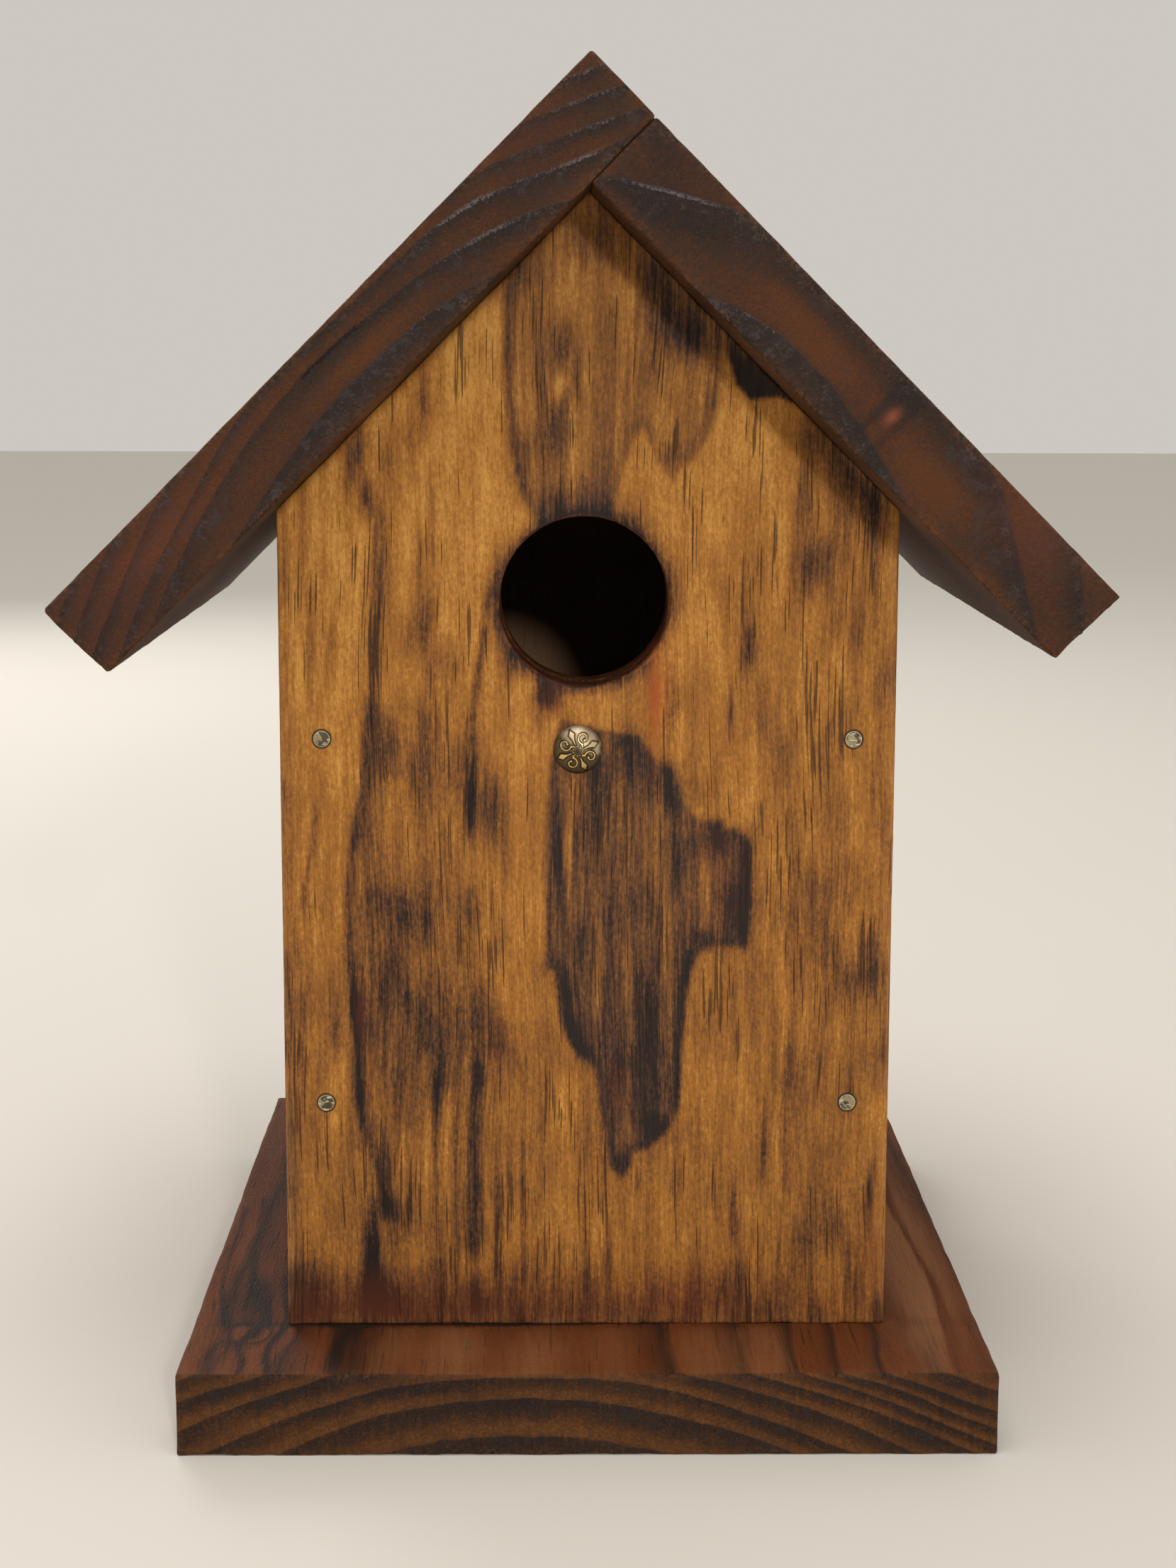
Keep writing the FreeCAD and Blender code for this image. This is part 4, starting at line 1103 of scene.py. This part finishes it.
def screwSteel():
    shader, zinc = Shader("screwZinc"), zincSettings
    layers = shader.layers(shader.millimetres(), zinc["layers"])
    spangle, grit = layers["spangle"], layers["grit"]
    colour = shader.mix(spangle, zinc["bright"], zinc["grey"])
    colour = shader.mix(shader.step(grit, 0.62, 0.8) * 0.5, colour, zinc["pit"])
    return shader.finish(Base_Color=colour, Metallic=0.9, Roughness=0.32 + spangle * 0.2,
                         Normal=shader.bump(grit, 0.00004))


# The tack: a grid over the dome (turn, distance from the middle) raised by its ornament, closed over a shank

tackSettings = {
    "radius": 5.55, "crown": 3.0, "rim": 0.5, "shank": 0.9, "length": 12.7, "point": 4.0, "around": 320,
    "rings": 84, "relief": 0.45, "sunk": 0.62, "lowest": 0.15, "petalTurn": 22.0,
    "petalOut": [0.27, 0.30, 0.48, 0.60, 0.70, 0.89], "petalHalf": [0.0, 0.03, 0.042, 0.09, 0.13, 0.0],
    "curlTurn": 65.0, "curlOut": 0.56, "curlSize": 0.225, "curlIn": 0.145,
    "curlTail": [(0.25, -0.10), (0.30, -0.045)], "stroke": 0.033, "bulb": 0.052, "paintedLightFrom": (0.25, 0.9)}


def strokeDistance(x, y, path):
    # distance to a path of straight strokes
    nearest = np.full(np.shape(x), 9.0)
    for (x0, y0), (x1, y1) in zip(path, path[1:]):
        run, rise = x1 - x0, y1 - y0
        share = np.clip(((x - x0) * run + (y - y0) * rise) / (run * run + rise * rise), 0, 1)
        nearest = np.minimum(nearest, np.hypot(x - x0 - share * run, y - y0 - share * rise))
    return nearest


def ornament(x, y):
    # at a place on the head, in head radii: how raised it is, from 0 to 1, by four petals, four curls and a
    # ring of beads, and how dark it is beside them
    tack = tackSettings
    raised = np.zeros_like(x)
    beside = np.zeros_like(x)
    sweep = np.linspace(0, 1, 26)
    wound = tack["curlSize"] - tack["curlIn"] * sweep ** 2
    angle = math.pi * (1.08 - 1.80 * sweep)  # clockwise, from the side that faces the middle
    spiral = [(tack["curlOut"] + r * math.cos(a), r * math.sin(a)) for r, a in zip(wound, angle)]
    spiral = tack["curlTail"] + spiral
    for quarter in range(4):
        turn = math.radians(tack["petalTurn"] + 90 * quarter)
        out = x * math.cos(turn) + y * math.sin(turn)
        aside = np.abs(-x * math.sin(turn) + y * math.cos(turn))
        wide = np.interp(out, tack["petalOut"], tack["petalHalf"], 0, 0)
        raised = np.maximum(raised, smoothRise((wide - aside) / 0.035 + 0.4) * (wide > 0))
        beside = np.maximum(beside, smoothRise((wide - aside) / 0.04 + 1.9) * (out > 0.26) * (out < 0.93))
        turn = math.radians(tack["curlTurn"] + 90 * quarter)
        out = x * math.cos(turn) + y * math.sin(turn)
        side = -x * math.sin(turn) + y * math.cos(turn)
        stroke = strokeDistance(out, side, spiral) / tack["stroke"]
        bulb = np.hypot(out - spiral[-1][0], side - spiral[-1][1]) / tack["bulb"]
        raised = np.maximum(raised, smoothRise((1.25 - np.minimum(stroke, bulb)) * 1.8))
        beside = np.maximum(beside, smoothRise((2.5 - np.minimum(stroke, bulb)) * 1.2))
    away, angle = np.hypot(x, y), np.arctan2(y, x)
    beads = np.hypot((away - 0.20) / 0.05, np.sin(angle * 5.5) / 0.7)
    raised = np.maximum(raised, 0.85 * smoothRise(1.4 - beads) * (away > 0.13) * (away < 0.28))
    inside = smoothRise((0.97 - away) * 20)
    return raised * inside, beside * inside


def makeTack():
    # rings over a head that is the cap of a ball, lifted by the relief of its ornament, down to a shank
    tack = tackSettings
    low, high = nodeBox("brass_tack")
    middle = (low + high) / 2
    around, radius = tack["around"], tack["radius"]
    share = np.linspace(1, tack["rings"], tack["rings"]) / tack["rings"]
    angle = np.arange(around) * 2 * math.pi / around
    x = share[:, None] * np.cos(angle)
    y = share[:, None] * np.sin(angle)
    raised, beside = ornament(x, y)
    rise = tack["crown"] - tack["rim"]
    bend = (radius ** 2 + rise ** 2) / (2 * rise)
    dome = np.sqrt(np.maximum(bend ** 2 - (share * radius) ** 2, 0)) - bend + tack["crown"]
    stamped = tack["relief"] * raised * (1 - 0.3 * share[:, None] ** 4)  # shallower towards the rim
    lift = np.maximum((dome - tack["relief"] * tack["sunk"])[:, None] + stamped, tack["lowest"])
    top = np.stack([x * radius, y * radius, lift], axis=2)
    under = [(radius, 0.0), (tack["shank"], 0.0), (tack["shank"], tack["point"] - tack["length"])]
    rings = np.concatenate([top, ringPoints(under, around)])
    points, faces = closedGrid(rings, lift[0].mean(), -tack["length"])
    plain = np.zeros(len(points) - raised.size)  # the shank and the poles have no ornament
    place = ((middle[0], high[1] - tack["length"], middle[2]), ((1, 0, 0), (0, 0, 1), (0, -1, 0)))
    # painted light: the head's colour grows lighter towards its top and a little to the right, as if the
    # light came from there
    paintedLit = (tack["paintedLightFrom"][0] * points[:, 0] + tack["paintedLightFrom"][1] * points[:, 1]) / radius
    attributes = {"relief": np.concatenate([raised.ravel(), plain]),
                  "beside": np.concatenate([beside.ravel(), plain]),
                  "reach": np.hypot(points[:, 0], points[:, 1]) / radius, "light": 0.5 + 0.5 * paintedLit}
    piece = addMesh("ornamentTack", points, faces, place, attributes, antiqueBrass())
    standIn(piece, "brass_tack")


brassSettings = {
    "shade": tint(96, 84, 62), "paintedLit": tint(226, 206, 172), "outer": tint(64, 48, 34),
    "beside": tint(46, 33, 22), "middle": tint(52, 38, 28), "gold": tint(222, 188, 120),
    "goldPaintedLit": tint(255, 236, 190),
    "layers": {"blotch": ((0.5, 0.5, 0.5), (1, 8, 3), 3), "grit": ((4.0, 4.0, 4.0), (5, 2, 2), 3)}}


def antiqueBrass():
    shader, brass = Shader("antiqueBrass"), brassSettings
    layers = shader.layers(shader.millimetres(), brass["layers"])
    grit, reach = layers["grit"], shader.attribute("reach")
    rubbed = shader.step(shader.attribute("relief") + (grit - 0.5) * 0.3, 0.45, 0.85)
    # painted light and shade: the patina and the rubbed gold run from a shaded colour to a brighter one
    # across the head
    bright = shader.step(shader.attribute("light") + (layers["blotch"] - 0.5) * 0.9, 0.40, 0.95)
    patina = shader.mix(bright, brass["shade"], brass["paintedLit"])
    patina = shader.mix(shader.step(reach, 0.80, 1.0) * 0.6, patina, brass["outer"])
    patina = shader.mix(shader.attribute("beside") * 0.82, patina, brass["beside"])
    patina = shader.mix((1 - shader.step(reach, 0.05, 0.19)) * 0.85, patina, brass["middle"])
    gold = shader.mix(bright, brass["gold"], brass["goldPaintedLit"])
    colour = shader.mix(rubbed, patina, gold)
    rough = 0.42 - rubbed * 0.12 + (grit - 0.5) * 0.2
    return shader.finish(Base_Color=colour, Metallic=0.85, Roughness=rough, Normal=shader.bump(grit, 0.00005))


def paleFloor():
    shader = Shader("paleFloor")
    place = shader.node("ShaderNodeTexCoord", output=3)
    cloud = shader.noise(place, (stageSettings["floorPatches"],) * 3, (1, 1, 1), 2)
    colour = shader.mix(cloud * 0.2, stageSettings["floorColour"], stageSettings["floorShade"])
    return shader.finish(Base_Color=colour, Roughness=0.8)


makePanels()
print("panels and sides made")
makeRoofAndBase()
print("roof and base made")
makeNails()
makeTack()
zinc = screwSteel()
for number in range(1, 5):
    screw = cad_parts[f"base_screw_{number}"]
    screw.data.materials.clear()
    screw.data.materials.append(zinc)
print("nails, screws and tack made")
makeStage(paleFloor())
print("scene ready")
